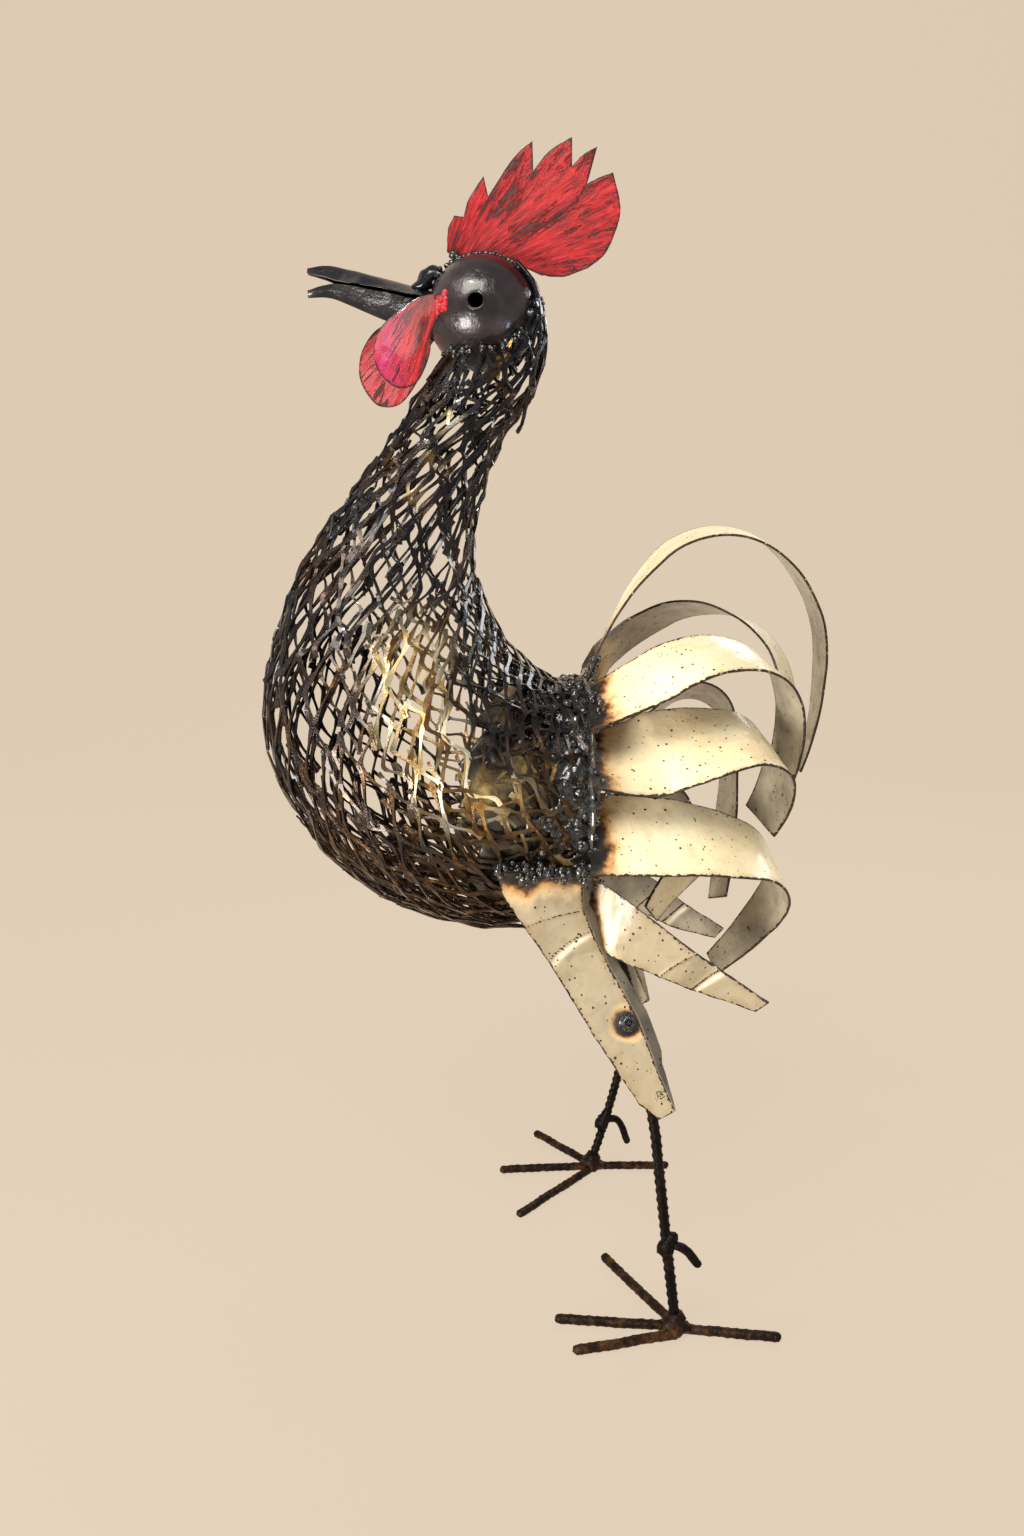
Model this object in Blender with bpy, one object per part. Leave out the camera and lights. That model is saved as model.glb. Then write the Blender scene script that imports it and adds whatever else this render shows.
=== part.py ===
"""A standing rooster welded from wire mesh, sheet and ribbed rod, with a steel ball for a head.

Metres, +Z up. The bird looks towards -X, and its left side faces -Y.
"""

import math

import bmesh
import bpy
from mathutils import Matrix, Vector

# Driving dimensions
HEIGHT = 0.800          # from the ground to the top of the comb
BALL = 0.076            # the head, a hollow steel ball
BALL_WALL = 0.002
EYE_HOLE = 0.010
EYE_RING_WIDTH = 0.0016
EYE_RING_PROUD = 0.0012
STRAND = 0.003          # thickness of the mesh's strands
STRAND_REACH = 0.75 * STRAND    # from the lattice's surface to a strand's farthest corner
COLUMNS = 14            # diamonds round the body
HALF_ROWS = 24          # rings of strand crossings from the neck's rim to the rump
RUMP_WALL = 0.002
RUMP_FLANGE = 0.003
RUMP_REACH = 0.010      # of the flange beyond the mesh, for the tail's welds
RUMP_RINGS = 2          # how many rings of the mesh the rump's skirt reaches under
FEATHER_SHEET = 0.0016
PLATE_SHEET = 0.0016
COMB_SHEET = 0.002
WATTLE_SHEET = 0.002
BEAK_SHEET = 0.0016
LEG_ROD = 0.008
TOE_ROD = 0.007
SPUR_ROD = 0.006
ANKLE_RADIUS = 0.0125
ANKLE_HEIGHT = 0.016
BOLT_HEAD = 0.013
BOLT_PROUD = 0.003
GAP = 0.0003            # left between pieces that touch

# The pose below is drawn for a bird of this height, and grows with HEIGHT
DRAWN_HEIGHT = 0.800
POSE = HEIGHT / DRAWN_HEIGHT

SIDES = {"left": -1, "right": 1}
ROD_SIDES = 8
ROUND_SIDES = 10


def at(x, y, z):
    """A place in the drawn pose."""
    return Vector((x, y, z)) * POSE


HEAD = at(-0.0198, 0, 0.6882)
EYE = HEAD + at(-0.0039, 0, 0.0007)
RUMP_X = 0.050 * POSE
RUMP_FACE = RUMP_X + STRAND / 2 + GAP + RUMP_FLANGE


# Helpers

def material(name, colour, roughness, metallic=0.0):
    made = bpy.data.materials.get(name) or bpy.data.materials.new(name)
    made.use_nodes = True
    shader = made.node_tree.nodes["Principled BSDF"]
    shader.inputs["Base Color"].default_value = (*colour, 1)
    shader.inputs["Roughness"].default_value = roughness
    shader.inputs["Metallic"].default_value = metallic
    made.diffuse_color = (*colour, 1)
    return made


def black_steel():
    return material("black_steel", (0.035, 0.033, 0.035), 0.35, 0.9)


def burnished_steel():
    return material("burnished_steel", (0.09, 0.065, 0.05), 0.28, 0.9)


def rusty_rod():
    return material("rusty_rod", (0.11, 0.055, 0.03), 0.5, 0.6)


def cream_enamel():
    return material("cream_enamel", (0.72, 0.55, 0.33), 0.45)


def red_paint():
    return material("red_paint", (0.62, 0.045, 0.03), 0.4)


def weld_metal():
    return material("weld_metal", (0.03, 0.028, 0.027), 0.6, 0.7)


def add_object(name, mesh_or_bm, finish=None, smooth=False):
    """Links an object, from a bmesh or a mesh, with its faces pointing out."""
    if isinstance(mesh_or_bm, bmesh.types.BMesh):
        bmesh.ops.recalc_face_normals(mesh_or_bm, faces=mesh_or_bm.faces)
        mesh = bpy.data.meshes.new(name)
        mesh_or_bm.to_mesh(mesh)
        mesh_or_bm.free()
    else:
        mesh = mesh_or_bm
    made = bpy.data.objects.new(name, mesh)
    bpy.context.scene.collection.objects.link(made)
    if finish is not None:
        mesh.materials.append(finish)
    if smooth:
        mesh.shade_smooth()
        mesh.set_sharp_from_angle(angle=math.radians(40))
    return made


def cutter(name, bm):
    """A helper object that other pieces are cut by."""
    made = add_object(name, bm)
    made.hide_render = True
    made.display_type = "WIRE"
    return made


def cut(piece, tool):
    modifier = piece.modifiers.new("cut_" + tool.name, "BOOLEAN")
    modifier.operation = "DIFFERENCE"
    modifier.object = tool


def loft(rings, close_ends=True):
    """A closed skin through rings of as many points each."""
    bm = bmesh.new()
    rows = [[bm.verts.new(point) for point in ring] for ring in rings]
    count = len(rows[0])
    for low, high in zip(rows, rows[1:]):
        for i in range(count):
            j = (i + 1) % count
            bm.faces.new((low[i], low[j], high[j], high[i]))
    if close_ends:
        bm.faces.new(rows[0][::-1])
        bm.faces.new(rows[-1])
    return bm


def ball_bm(radius, segments=18, rings=9):
    """A sphere round the head's centre, with its poles fore and aft."""
    bm = bmesh.new()
    turn = Matrix.Translation(HEAD) @ Matrix.Rotation(math.pi / 4, 4, "Y")
    bmesh.ops.create_uvsphere(bm, u_segments=segments, v_segments=rings, radius=radius, matrix=turn)
    return bm


def cylinder_bm(start, end, radius, sides):
    """A straight round bar from start to end."""
    direction = (end - start).normalized()
    across = direction.orthogonal().normalized()
    other = direction.cross(across)
    rings = []
    for place in (start, end):
        ring = []
        for i in range(sides):
            angle = 2 * math.pi * (i + 0.5) / sides
            ring.append(place + radius * (math.cos(angle) * across + math.sin(angle) * other))
        rings.append(ring)
    return loft(rings)


def smooth_path(points, steps):
    """Points along a Catmull-Rom curve through the given points, with steps to each stretch."""
    first = points[0] * 2 - points[1]
    last = points[-1] * 2 - points[-2]
    ends = [first, *points, last]
    path = []
    for i in range(1, len(ends) - 2):
        before, start, end, after = ends[i - 1:i + 3]
        for step in range(steps):
            t = step / steps
            path.append(
                (
                    2 * start
                    + (end - before) * t
                    + (2 * before - 5 * start + 4 * end - after) * t * t
                    + (3 * start - before - 3 * end + after) * t * t * t
                )
                / 2
            )
    path.append(points[-1])
    return path


def rod_bm(path, radii, sides=ROD_SIDES, up=Vector((0, 0, 1))):
    """A bar along a path. The flats of its sides are level where the path is level."""
    widen = 1 / math.cos(math.pi / sides)
    rings = []
    for i, place in enumerate(path):
        before = path[max(i - 1, 0)]
        after = path[min(i + 1, len(path) - 1)]
        along = (after - before).normalized()
        across = along.cross(up).normalized()
        above = across.cross(along)
        ring = []
        for k in range(sides):
            angle = 2 * math.pi * (k + 0.5) / sides
            offset = math.cos(angle) * across + math.sin(angle) * above
            ring.append(place + radii[i] * widen * offset)
        rings.append(ring)
    return loft(rings)


def sheet_bm(edges, thickness):
    """A bent strip of sheet between two edges, given as pairs of points."""
    rings = []
    for i, (one, other) in enumerate(edges):
        before = edges[max(i - 1, 0)]
        after = edges[min(i + 1, len(edges) - 1)]
        along = (after[0] + after[1]) - (before[0] + before[1])
        normal = along.cross(other - one).normalized() * thickness / 2
        rings.append([one + normal, other + normal, other - normal, one - normal])
    return loft(rings)


def trim_behind_rump(bm):
    """Cuts a root off where it meets the rump's rear face."""
    everything = bm.verts[:] + bm.edges[:] + bm.faces[:]
    cut_off = bmesh.ops.bisect_plane(
        bm,
        geom=everything,
        plane_co=(RUMP_FACE + GAP, 0, 0),
        plane_no=(1, 0, 0),
        clear_inner=True,
    )
    edges = [e for e in cut_off["geom_cut"] if isinstance(e, bmesh.types.BMEdge)]
    bmesh.ops.contextual_create(bm, geom=edges)
    return bm


# Head

def make_head():
    outer = add_object("head_ball", ball_bm(BALL / 2), burnished_steel(), smooth=True)
    cavity = cutter("ball_cavity", ball_bm(BALL / 2 - BALL_WALL, 12, 6))
    cut(outer, cavity)
    reach = Vector((0, BALL, 0))
    hole = cutter("eye_holes", cylinder_bm(EYE - reach, EYE + reach, EYE_HOLE / 2, ROUND_SIDES))
    cut(outer, hole)
    seat = cutter("ball_seat", ball_bm(BALL / 2 + GAP))
    for side, sign in SIDES.items():
        make_eye_ring(side, sign, seat)
    return seat


def make_eye_ring(side, sign, seat):
    """A thin raised ring round the eye hole, whose foot follows the ball."""
    inner = EYE_HOLE / 2 + GAP
    outer = inner + EYE_RING_WIDTH
    top = BALL / 2 + EYE_RING_PROUD
    low = BALL / 4
    rings = []
    for radius, depth in ((outer, low), (outer, top), (inner, top), (inner, low)):
        ring = []
        for i in range(ROUND_SIDES):
            angle = 2 * math.pi * (i + 0.5) / ROUND_SIDES
            ring.append(EYE + Vector((radius * math.cos(angle), sign * depth, radius * math.sin(angle))))
        rings.append(ring)
    bm = loft(rings + rings[:1], close_ends=False)
    bmesh.ops.remove_doubles(bm, verts=bm.verts, dist=GAP / 100)
    ring = add_object("eye_ring_" + side, bm, burnished_steel(), smooth=True)
    cut(ring, seat)


# Beak, each half as stations of (x, ridge z, edge z, half width)

BEAK_UPPER = (
    (-0.1385, 0.7176, 0.7140, 0.0025),
    (-0.1260, 0.7191, 0.7108, 0.0060),
    (-0.1160, 0.7178, 0.7076, 0.0080),
    (-0.0874, 0.7114, 0.7025, 0.0120),
    (-0.0550, 0.7030, 0.6950, 0.0160),
    (-0.0350, 0.6990, 0.6910, 0.0180),
)
BEAK_LOWER = (
    (-0.1385, 0.6986, 0.7030, 0.0020),
    (-0.1260, 0.6985, 0.7055, 0.0050),
    (-0.1160, 0.6960, 0.7056, 0.0070),
    (-0.0874, 0.6842, 0.7000, 0.0105),
    (-0.0550, 0.6713, 0.6925, 0.0140),
    (-0.0350, 0.6640, 0.6880, 0.0150),
)
FOLD_DEPTH = 1.4        # of the sheet's thickness, measured upright through the fold


def beak_bm(stations, inward):
    """A folded sheet: inward is -1 where the fold is on top, and 1 where it is below."""
    rings = []
    thick = BEAK_SHEET / POSE
    fold = inward * thick * FOLD_DEPTH
    for x, ridge, edge, half in stations:
        ring = [
            at(x, -half, edge),
            at(x, 0, ridge),
            at(x, half, edge),
            at(x, half - thick, edge),
            at(x, 0, ridge + fold),
            at(x, -half + thick, edge),
        ]
        rings.append(ring)
    return loft(rings)


WELD_PLACE = (-0.0540, 0.0, 0.7085)
WELD_SIZE = (0.0095, 0.0100, 0.0115)
WELD_TILT = math.radians(-25)


def beak_weld_bm(grow=0.0):
    """The lump of weld that joins the beak's ridge to the ball."""
    bm = bmesh.new()
    bmesh.ops.create_uvsphere(bm, u_segments=12, v_segments=7, radius=1)
    size = Matrix.Diagonal([half * POSE + grow for half in WELD_SIZE] + [1])
    place = Matrix.Translation(at(*WELD_PLACE)) @ Matrix.Rotation(WELD_TILT, 4, "Y")
    bmesh.ops.transform(bm, matrix=place @ size, verts=bm.verts)
    return bm


def make_beak(seat):
    weld = add_object("beak_weld", beak_weld_bm(), weld_metal(), smooth=True)
    cut(weld, seat)
    weld_seat = cutter("weld_seat", beak_weld_bm(GAP))
    for name, stations, inward in (("beak_upper", BEAK_UPPER, -1), ("beak_lower", BEAK_LOWER, 1)):
        half = add_object(name, beak_bm(stations, inward), black_steel())
        cut(half, seat)
        if inward < 0:
            cut(half, weld_seat)


# Comb and wattles

COMB_TEETH = (
    # valley before the tooth, then its tip
    ((-0.0439, 0.7280), (-0.0388, 0.7510)),
    ((-0.0325, 0.7500), (-0.0191, 0.7757)),
    ((-0.0160, 0.7630), (0.0137, 0.7975)),
    ((0.0144, 0.7790), (0.0400, 0.8000)),
    ((0.0401, 0.7821), (0.0569, 0.7940)),
    ((0.0502, 0.7709), (0.0675, 0.7778)),
)
COMB_BELLIES = ((-0.0288, 0.7615), (0.0010, 0.7870), (0.0250, 0.7914), (0.0480, 0.7895), (0.0590, 0.7750))
COMB_BACK = ((0.0725, 0.7590), (0.0713, 0.7458), (0.0640, 0.7285), (0.0541, 0.7197), (0.0430, 0.7146))
COMB_FOOT = ((0.0325, 0.7121), (0.0200, 0.7132), (0.0060, 0.7120), (-0.0100, 0.7050), (-0.0330, 0.7050))


def flat_bm(outline, y, thickness):
    """A flat plate cut to an outline in the bird's mid plane, set at y."""
    rings = []
    for offset in (-thickness / 2, thickness / 2):
        rings.append([at(x, 0, z) + Vector((0, y + offset, 0)) for x, z in outline])
    return loft(rings)


def make_comb(seat):
    outline = []
    for (valley, tip), belly in zip(COMB_TEETH, (None, *COMB_BELLIES)):
        outline.append(valley)
        if belly is not None:
            outline.append(belly)
        outline.append(tip)
    outline += [*COMB_BACK, *COMB_FOOT]
    comb = add_object("comb", flat_bm(outline, 0, COMB_SHEET), red_paint())
    cut(comb, seat)


WATTLE = (
    (-0.0500, 0.6970), (-0.0470, 0.6880), (-0.0490, 0.6810), (-0.0535, 0.6700), (-0.0545, 0.6560),
    (-0.0625, 0.6385), (-0.0745, 0.6340), (-0.0835, 0.6392), (-0.0897, 0.6475), (-0.0915, 0.6571),
    (-0.0905, 0.6650), (-0.0859, 0.6750), (-0.0770, 0.6830), (-0.0640, 0.6930),
)
WATTLE_ROOT = (-0.0500, 0.6950)
WATTLE_OUT = 0.0215
WATTLE_SPLAY = math.radians(9)
WATTLE_SWING = {"left": 0.0, "right": math.radians(-13)}
WATTLE_GROWTH = {"left": 1.0, "right": 1.18}


def make_wattles(seat):
    for side, sign in SIDES.items():
        root = at(WATTLE_ROOT[0], 0, WATTLE_ROOT[1])
        bm = flat_bm(WATTLE, 0, WATTLE_SHEET)
        swing = Matrix.Rotation(-WATTLE_SWING[side], 4, "Y")
        splay = Matrix.Rotation(sign * WATTLE_SPLAY, 4, "X")
        out = Vector((0, sign * WATTLE_OUT * POSE, 0))
        size = Matrix.Diagonal([WATTLE_GROWTH[side], 1, WATTLE_GROWTH[side], 1])
        turn = Matrix.Translation(root + out) @ splay @ swing @ size @ Matrix.Translation(-root)
        bmesh.ops.transform(bm, matrix=turn, verts=bm.verts)
        wattle = add_object("wattle_" + side, bm, red_paint())
        cut(wattle, seat)


# Body, as stations of (front x, front z, back x, back z, half width)

NECK_LEAN = math.radians(45)    # of the neck's axis from straight down, at the rim
RIM_BELOW = 0.009 * POSE        # from the ball's centre to the rim, along the neck's axis
RIM_DIP = 0.105                 # of the body's length, that the rim drops beside the ball
BODY = (
    (-0.0640, 0.6370, 0.0236, 0.6840, 0.0445),
    (-0.0780, 0.6120, 0.0215, 0.6540, 0.0450),
    (-0.0953, 0.5884, 0.0095, 0.6260, 0.0450),
    (-0.1150, 0.5630, -0.0080, 0.6010, 0.0460),
    (-0.1340, 0.5370, -0.0200, 0.5750, 0.0490),
    (-0.1540, 0.5040, -0.0260, 0.5450, 0.0560),
    (-0.1680, 0.4680, -0.0245, 0.5170, 0.0660),
    (-0.1766, 0.4290, -0.0215, 0.5000, 0.0790),
    (-0.1740, 0.3890, -0.0130, 0.4815, 0.0910),
    (-0.1590, 0.3520, -0.0025, 0.4660, 0.1000),
    (-0.1330, 0.3150, 0.0085, 0.4540, 0.1045),
    (-0.0970, 0.2850, 0.0180, 0.4460, 0.1035),
    (-0.0550, 0.2670, 0.0270, 0.4420, 0.0980),
    (-0.0150, 0.2590, 0.0350, 0.4400, 0.0900),
    (0.0200, 0.2600, 0.0425, 0.4390, 0.0820),
    (0.0500, 0.2680, 0.0500, 0.4387, 0.0750),
)


def rim_station():
    """The neck's rim, which hugs the ball however large it is."""
    sphere = BALL / 2 + STRAND_REACH + GAP
    radius = math.sqrt(sphere**2 - RIM_BELOW**2) / math.cos(math.pi / COLUMNS)
    axis = Vector((math.sin(NECK_LEAN), 0, -math.cos(NECK_LEAN)))
    centre = HEAD + axis * RIM_BELOW
    front = Vector((-axis.z, 0, axis.x)) * -radius
    return centre + front, centre - front, radius


def body_tracks():
    """The body's front line, its back line and its half widths, from the neck's rim to the rump."""
    front, back, half = rim_station()
    fronts = [front] + [at(x, 0, z) for x, z, _, _, _ in BODY]
    backs = [back] + [at(x, 0, z) for _, _, x, z, _ in BODY]
    halves = [Vector((half, 0, 0))] + [at(w, 0, 0) for _, _, _, _, w in BODY]
    steps = 12
    return [smooth_path(points, steps) for points in (fronts, backs, halves)]


def body_place(tracks, k, slot, inset=0.0):
    """A place on ring k of the body, at one of twice COLUMNS slots round it, set in by a distance.

    The rings follow the rim, which dips on both sides of the ball and rises in front of and behind it.
    """
    angle = math.pi * slot / COLUMNS
    dip = RIM_DIP * (1 - math.cos(angle) ** 4)
    last = len(tracks[0]) - 1
    where = (dip + (1 - dip) * k / HALF_ROWS) * last
    i = min(int(where), last - 1)
    front, back, half = (track[i].lerp(track[i + 1], where - i) for track in tracks)
    centre = (front + back) / 2
    length = (front - back).length / 2
    towards = (front - back).normalized()
    across = Vector((0, half.x - inset, 0))
    return centre + towards * (length - inset) * math.cos(angle) + across * math.sin(angle)


def make_body(tracks):
    """One open lattice of diamonds, whose strands cross on every other slot of each ring."""
    bm = bmesh.new()
    crossings = {}
    slots = 2 * COLUMNS
    last = HALF_ROWS
    for k in range(last + 1):
        for slot in range(k % 2, slots, 2):
            crossings[k, slot] = bm.verts.new(body_place(tracks, k, slot))
    for k in range(last + 1):
        for slot in range((k + 1) % 2, slots, 2):
            beside = [(k, (slot - 1) % slots), (k, (slot + 1) % slots)]
            above = [(k - 1, slot)] if k > 0 else []
            below = [(k + 1, slot)] if k < last else []
            corners = [beside[0], *below, beside[1], *above]
            bm.faces.new([crossings[corner] for corner in corners])
    bmesh.ops.recalc_face_normals(bm, faces=bm.faces)
    body = add_object("body_mesh", bm, black_steel())
    wires = body.modifiers.new("strands", "WIREFRAME")
    wires.thickness = STRAND
    wires.offset = 0
    wires.use_boundary = True
    wires.use_even_offset = False
    wires.use_replace = True


def make_rump(tracks):
    """The dished sheet that closes the rear of the body, with a skirt under the mesh."""
    slots = 2 * COLUMNS
    outside = 2 * STRAND_REACH + 2 * GAP
    inside = outside + RUMP_WALL
    under = RUMP_X + STRAND / 2 + GAP
    skirt = range(HALF_ROWS - RUMP_RINGS, HALF_ROWS)

    def row(k, inset, x=None):
        points = [body_place(tracks, k, slot, inset) for slot in range(slots)]
        if x is not None:
            for point in points:
                point.x = x
        return points

    rows = [row(HALF_ROWS, inside, under)]
    rows += [row(k, inside) for k in reversed(skirt)]
    rows += [row(k, outside) for k in skirt]
    rows.append(row(HALF_ROWS, outside, under))
    rows.append(row(HALF_ROWS, -RUMP_REACH, under))
    rows.append(row(HALF_ROWS, -RUMP_REACH, RUMP_FACE))
    add_object("rump_plate", loft(rows), weld_metal())


# Tail: each strip starts at its root on the rump, then bends and twists by quarters of its length.
# The place, then yaw, pitch and roll of its start, its bends and twists, all in degrees, and its
# widths at the root, the middle and the tip. Where its tip is cut short, kept is the share left.

TAIL = {
    "top": dict(
        root=(0.0420, -0.0060, 0.4180), start=(0.0582, -0.0051, 0.4490), aim=(-7, 74, -1), length=0.354,
        bends=(28, 84, 47, 19), twists=(12, 5, 3, 8), widths=(0.047, 0.0515, 0.0275),
    ),
    "left_1": dict(
        root=(0.0400, -0.0560, 0.4150), start=(0.0500, -0.0560, 0.4230), aim=(0, 24, 27), length=0.229,
        bends=(-8, 46, 58, 30), twists=(12, -13, -4, -2), widths=(0.050, 0.048, 0.035),
    ),
    "left_2": dict(
        root=(0.0350, -0.0680, 0.3880), start=(0.0450, -0.0650, 0.3895), aim=(16, -7, 20), length=0.220,
        bends=(-28, 16, 86, 44), twists=(27, -21, -3, -10), widths=(0.066, 0.070, 0.034), kept=0.94,
    ),
    "left_3": dict(
        root=(0.0250, -0.0720, 0.3420), start=(0.0348, -0.0720, 0.3427), aim=(4, -2, 49), length=0.269,
        bends=(4, 18, 90, 16), twists=(0, -18, -6, -6), widths=(0.064, 0.057, 0.020),
    ),
    "right_1": dict(
        root=(0.0420, 0.0500, 0.4060), start=(0.0680, 0.0500, 0.4515), aim=(6, 45, -35), length=0.220,
        bends=(23, 49, 47, 14), twists=(4, 17, 9, -3), widths=(0.048, 0.048, 0.036),
    ),
    "right_2": dict(
        root=(0.0350, 0.0620, 0.3700), start=(0.0710, 0.0740, 0.3732), aim=(9, 29, -34), length=0.274,
        bends=(-18, 140, 4, 4), twists=(12, 1, -14, -1), widths=(0.050, 0.050, 0.032),
    ),
    "right_3": dict(
        root=(0.0350, 0.0660, 0.3120), start=(0.0640, 0.0704, 0.3170), aim=(-1, 18, -48), length=0.182,
        bends=(-8, 90, 69, -11), twists=(-1, 7, 10, -2), widths=(0.058, 0.056, 0.026),
    ),
}
STRIP_STEPS = 16


def strip_edges(root, start, aim, length, bends, twists, widths, kept=1.0):
    """The two edges of a bent strip, as pairs of points."""
    yaw, pitch, roll = (math.radians(angle) for angle in aim)
    along = Vector((math.cos(pitch) * math.cos(yaw), math.cos(pitch) * math.sin(yaw), math.sin(pitch)))
    side = Vector((0, 0, 1)).cross(along).normalized()
    outward = along.cross(side) * math.cos(roll) - side * math.sin(roll)
    place = at(*start)
    step = length * POSE / STRIP_STEPS
    first = along.cross(outward) * widths[0] * POSE / 2
    edges = [(at(*root) + first, at(*root) - first)]
    for i in range(STRIP_STEPS + 1):
        share = i / STRIP_STEPS
        root_half = min(share, 0.5) * 2
        tip_half = max(share - 0.5, 0) * 2
        width = widths[0] + (widths[1] - widths[0]) * root_half + (widths[2] - widths[1]) * tip_half
        reach = along.cross(outward) * width * POSE / 2
        edges.append((place + reach, place - reach))
        quarter = min(int(share * 4), 3)
        bend = math.radians(bends[quarter]) * 4 / STRIP_STEPS
        twist = math.radians(twists[quarter]) * 4 / STRIP_STEPS
        across = along.cross(outward)
        place = place + Matrix.Rotation(-bend / 2, 3, across) @ along * step
        along = Matrix.Rotation(-bend, 3, across) @ along
        outward = Matrix.Rotation(-bend, 3, across) @ outward
        outward = Matrix.Rotation(twist, 3, along) @ outward
    return edges[:2 + round(kept * STRIP_STEPS)]


def make_tail():
    for name, strip in TAIL.items():
        bm = trim_behind_rump(sheet_bm(strip_edges(**strip), FEATHER_SHEET))
        add_object("tail_feather_" + name, bm, cream_enamel())


# Legs, as the middle of each rod from the rump to the ankle

LEGS = {
    "left": (
        (0.0400, -0.0300, 0.3100), (0.0600, -0.0410, 0.2920), (0.0690, -0.0610, 0.2550),
        (0.0786, -0.0850, 0.2127), (0.0940, -0.0980, 0.1574), (0.0988, -0.1030, 0.1200),
        (0.1055, -0.1070, 0.0600), (0.1117, -0.1090, 0.0100),
    ),
    "right": (
        (0.0400, 0.0300, 0.3100), (0.0600, 0.0410, 0.2920), (0.0750, 0.0640, 0.2500),
        (0.0900, 0.0820, 0.2000), (0.1010, 0.0920, 0.1544), (0.0940, 0.1020, 0.1050),
        (0.0815, 0.1070, 0.0500), (0.0701, 0.1090, 0.0100),
    ),
}
LEG_STEPS = 2


def leg_path(side):
    return smooth_path([at(*point) for point in LEGS[side]], LEG_STEPS)


def leg_bm(side, grow=0.0):
    path = leg_path(side)
    return rod_bm(path, [LEG_ROD / 2 + grow] * len(path), up=Vector((1, 0, 0)))


def make_legs(ankles):
    for side in SIDES:
        leg = add_object("leg_rod_" + side, trim_behind_rump(leg_bm(side)), rusty_rod(), smooth=True)
        cut(leg, ankles[side])


# Feet: each toe as (where it starts, its tip), both measured from the ankle

FEET = {
    "left": {
        "inner": ((0.001, 0.005), (-0.0425, 0.0848)),
        "middle": ((-0.004, 0.003), (-0.0818, 0.0106)),
        "outer": ((0.000, -0.006), (-0.0711, -0.0224)),
        "back": ((0.004, 0.000), (0.0704, -0.0093)),
    },
    "right": {
        "outer": ((-0.001, 0.004), (-0.0488, 0.0600)),
        "middle": ((-0.004, 0.000), (-0.0805, -0.0068)),
        "inner": ((-0.001, -0.004), (-0.0653, -0.0775)),
        "back": ((0.004, 0.000), (0.0668, 0.0017)),
    },
}
TOE_TAPER = 0.8         # of the rod's width at the very tip
ANKLE_PROFILE = ((0.70, 0.0), (1.0, 0.30), (0.95, 0.62), (0.66, 0.88), (0.30, 1.0))
TOE_NOSE = 0.003


def ankle_place(side):
    x, y, _ = LEGS[side][-1]
    return at(x, y, 0)


def ankle_bm(side, grow=0.0):
    """A lump of weld, turned, with its foot just off the ground. A grown one reaches below the ground."""
    foot = GAP * 2
    profile = [(share, foot + ANKLE_HEIGHT * rise) for share, rise in ANKLE_PROFILE]
    if grow:
        profile[-1] = (ANKLE_PROFILE[-1][0], foot + ANKLE_HEIGHT + grow)
        profile.insert(0, (ANKLE_PROFILE[0][0], -TOE_ROD))
    centre = ankle_place(side)
    rings = []
    for share, height in profile:
        radius = ANKLE_RADIUS * share + grow
        ring = []
        for i in range(ROUND_SIDES):
            angle = 2 * math.pi * (i + 0.5) / ROUND_SIDES
            ring.append(centre + Vector((radius * math.cos(angle), radius * math.sin(angle), height)))
        rings.append(ring)
    return loft(rings)


def make_feet():
    """The ankles and toes. The grown ankles are given back, for the legs to be cut by."""
    ankles = {}
    for side in SIDES:
        add_object("foot_weld_" + side, ankle_bm(side), weld_metal(), smooth=True)
        ankles[side] = cutter("ankle_seat_" + side, ankle_bm(side, GAP))
        for toe, (start, tip) in FEET[side].items():
            make_toe("toe_%s_%s" % (side, toe), side, start, tip, ankles[side])
    return ankles


def make_toe(name, side, start, tip, seat):
    """A rod along the ground, flat below, whose nose tapers from above."""
    ankle = ankle_place(side)
    level = Vector((0, 0, TOE_ROD / 2))
    first = ankle + at(*start, 0) + level
    last = ankle + at(*tip, 0) + level
    along = (last - first).normalized()
    nose = last - along * TOE_NOSE
    bm = rod_bm([first, nose, last], [TOE_ROD / 2, TOE_ROD / 2, TOE_ROD / 2 * TOE_TAPER])
    for vert in bm.verts:
        if (vert.co - last).dot(along) > -TOE_NOSE / 2:
            vert.co.z -= TOE_ROD / 2 * (1 - TOE_TAPER)
    toe = add_object(name, bm, rusty_rod(), smooth=True)
    cut(toe, seat)


# Spurs, each as (its start inside the shank, its bend, its tip)

SPURS = {
    "left": ((0.1075, -0.1075, 0.0690), (0.1170, -0.1090, 0.0625), (0.1275, -0.1090, 0.0500)),
    "right": ((0.0800, 0.1072, 0.0500), (0.0922, 0.1080, 0.0463), (0.1012, 0.1085, 0.0250)),
}


def make_spurs():
    for side in SIDES:
        path = [at(*point) for point in SPURS[side]]
        radii = [SPUR_ROD / 2, SPUR_ROD / 2, SPUR_ROD / 2 * TOE_TAPER]
        spur = add_object("spur_" + side, rod_bm(path, radii, sides=6, up=Vector((0, 1, 0))), rusty_rod())
        cut(spur, cutter("shank_seat_" + side, leg_bm(side, GAP)))


# Thigh plates, each station as the heights of its front and rear edge, how far behind the rod each
# edge is, and how far outside it

THIGH = (
    (0.3220, 0.3180, -0.0500, 0.0070, 0.0600, 0.0490),
    (0.3042, 0.2939, -0.0540, -0.0115, 0.0510, 0.0340),
    (0.2551, 0.2620, -0.0436, -0.0083, 0.0170, 0.0120),
    (0.2071, 0.2200, -0.0245, 0.0070, 0.0035, 0.0035),
    (0.1645, 0.1840, -0.0071, 0.0110, 0.0020, 0.0020),
    (0.1545, 0.1600, 0.0040, 0.0155, 0.0010, 0.0010),
)
BOLT_STATION = 3        # the station of the thigh plate that the bolt is at
BOLT_SHARE = 0.78       # of the way from its front edge to its rear edge


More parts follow.
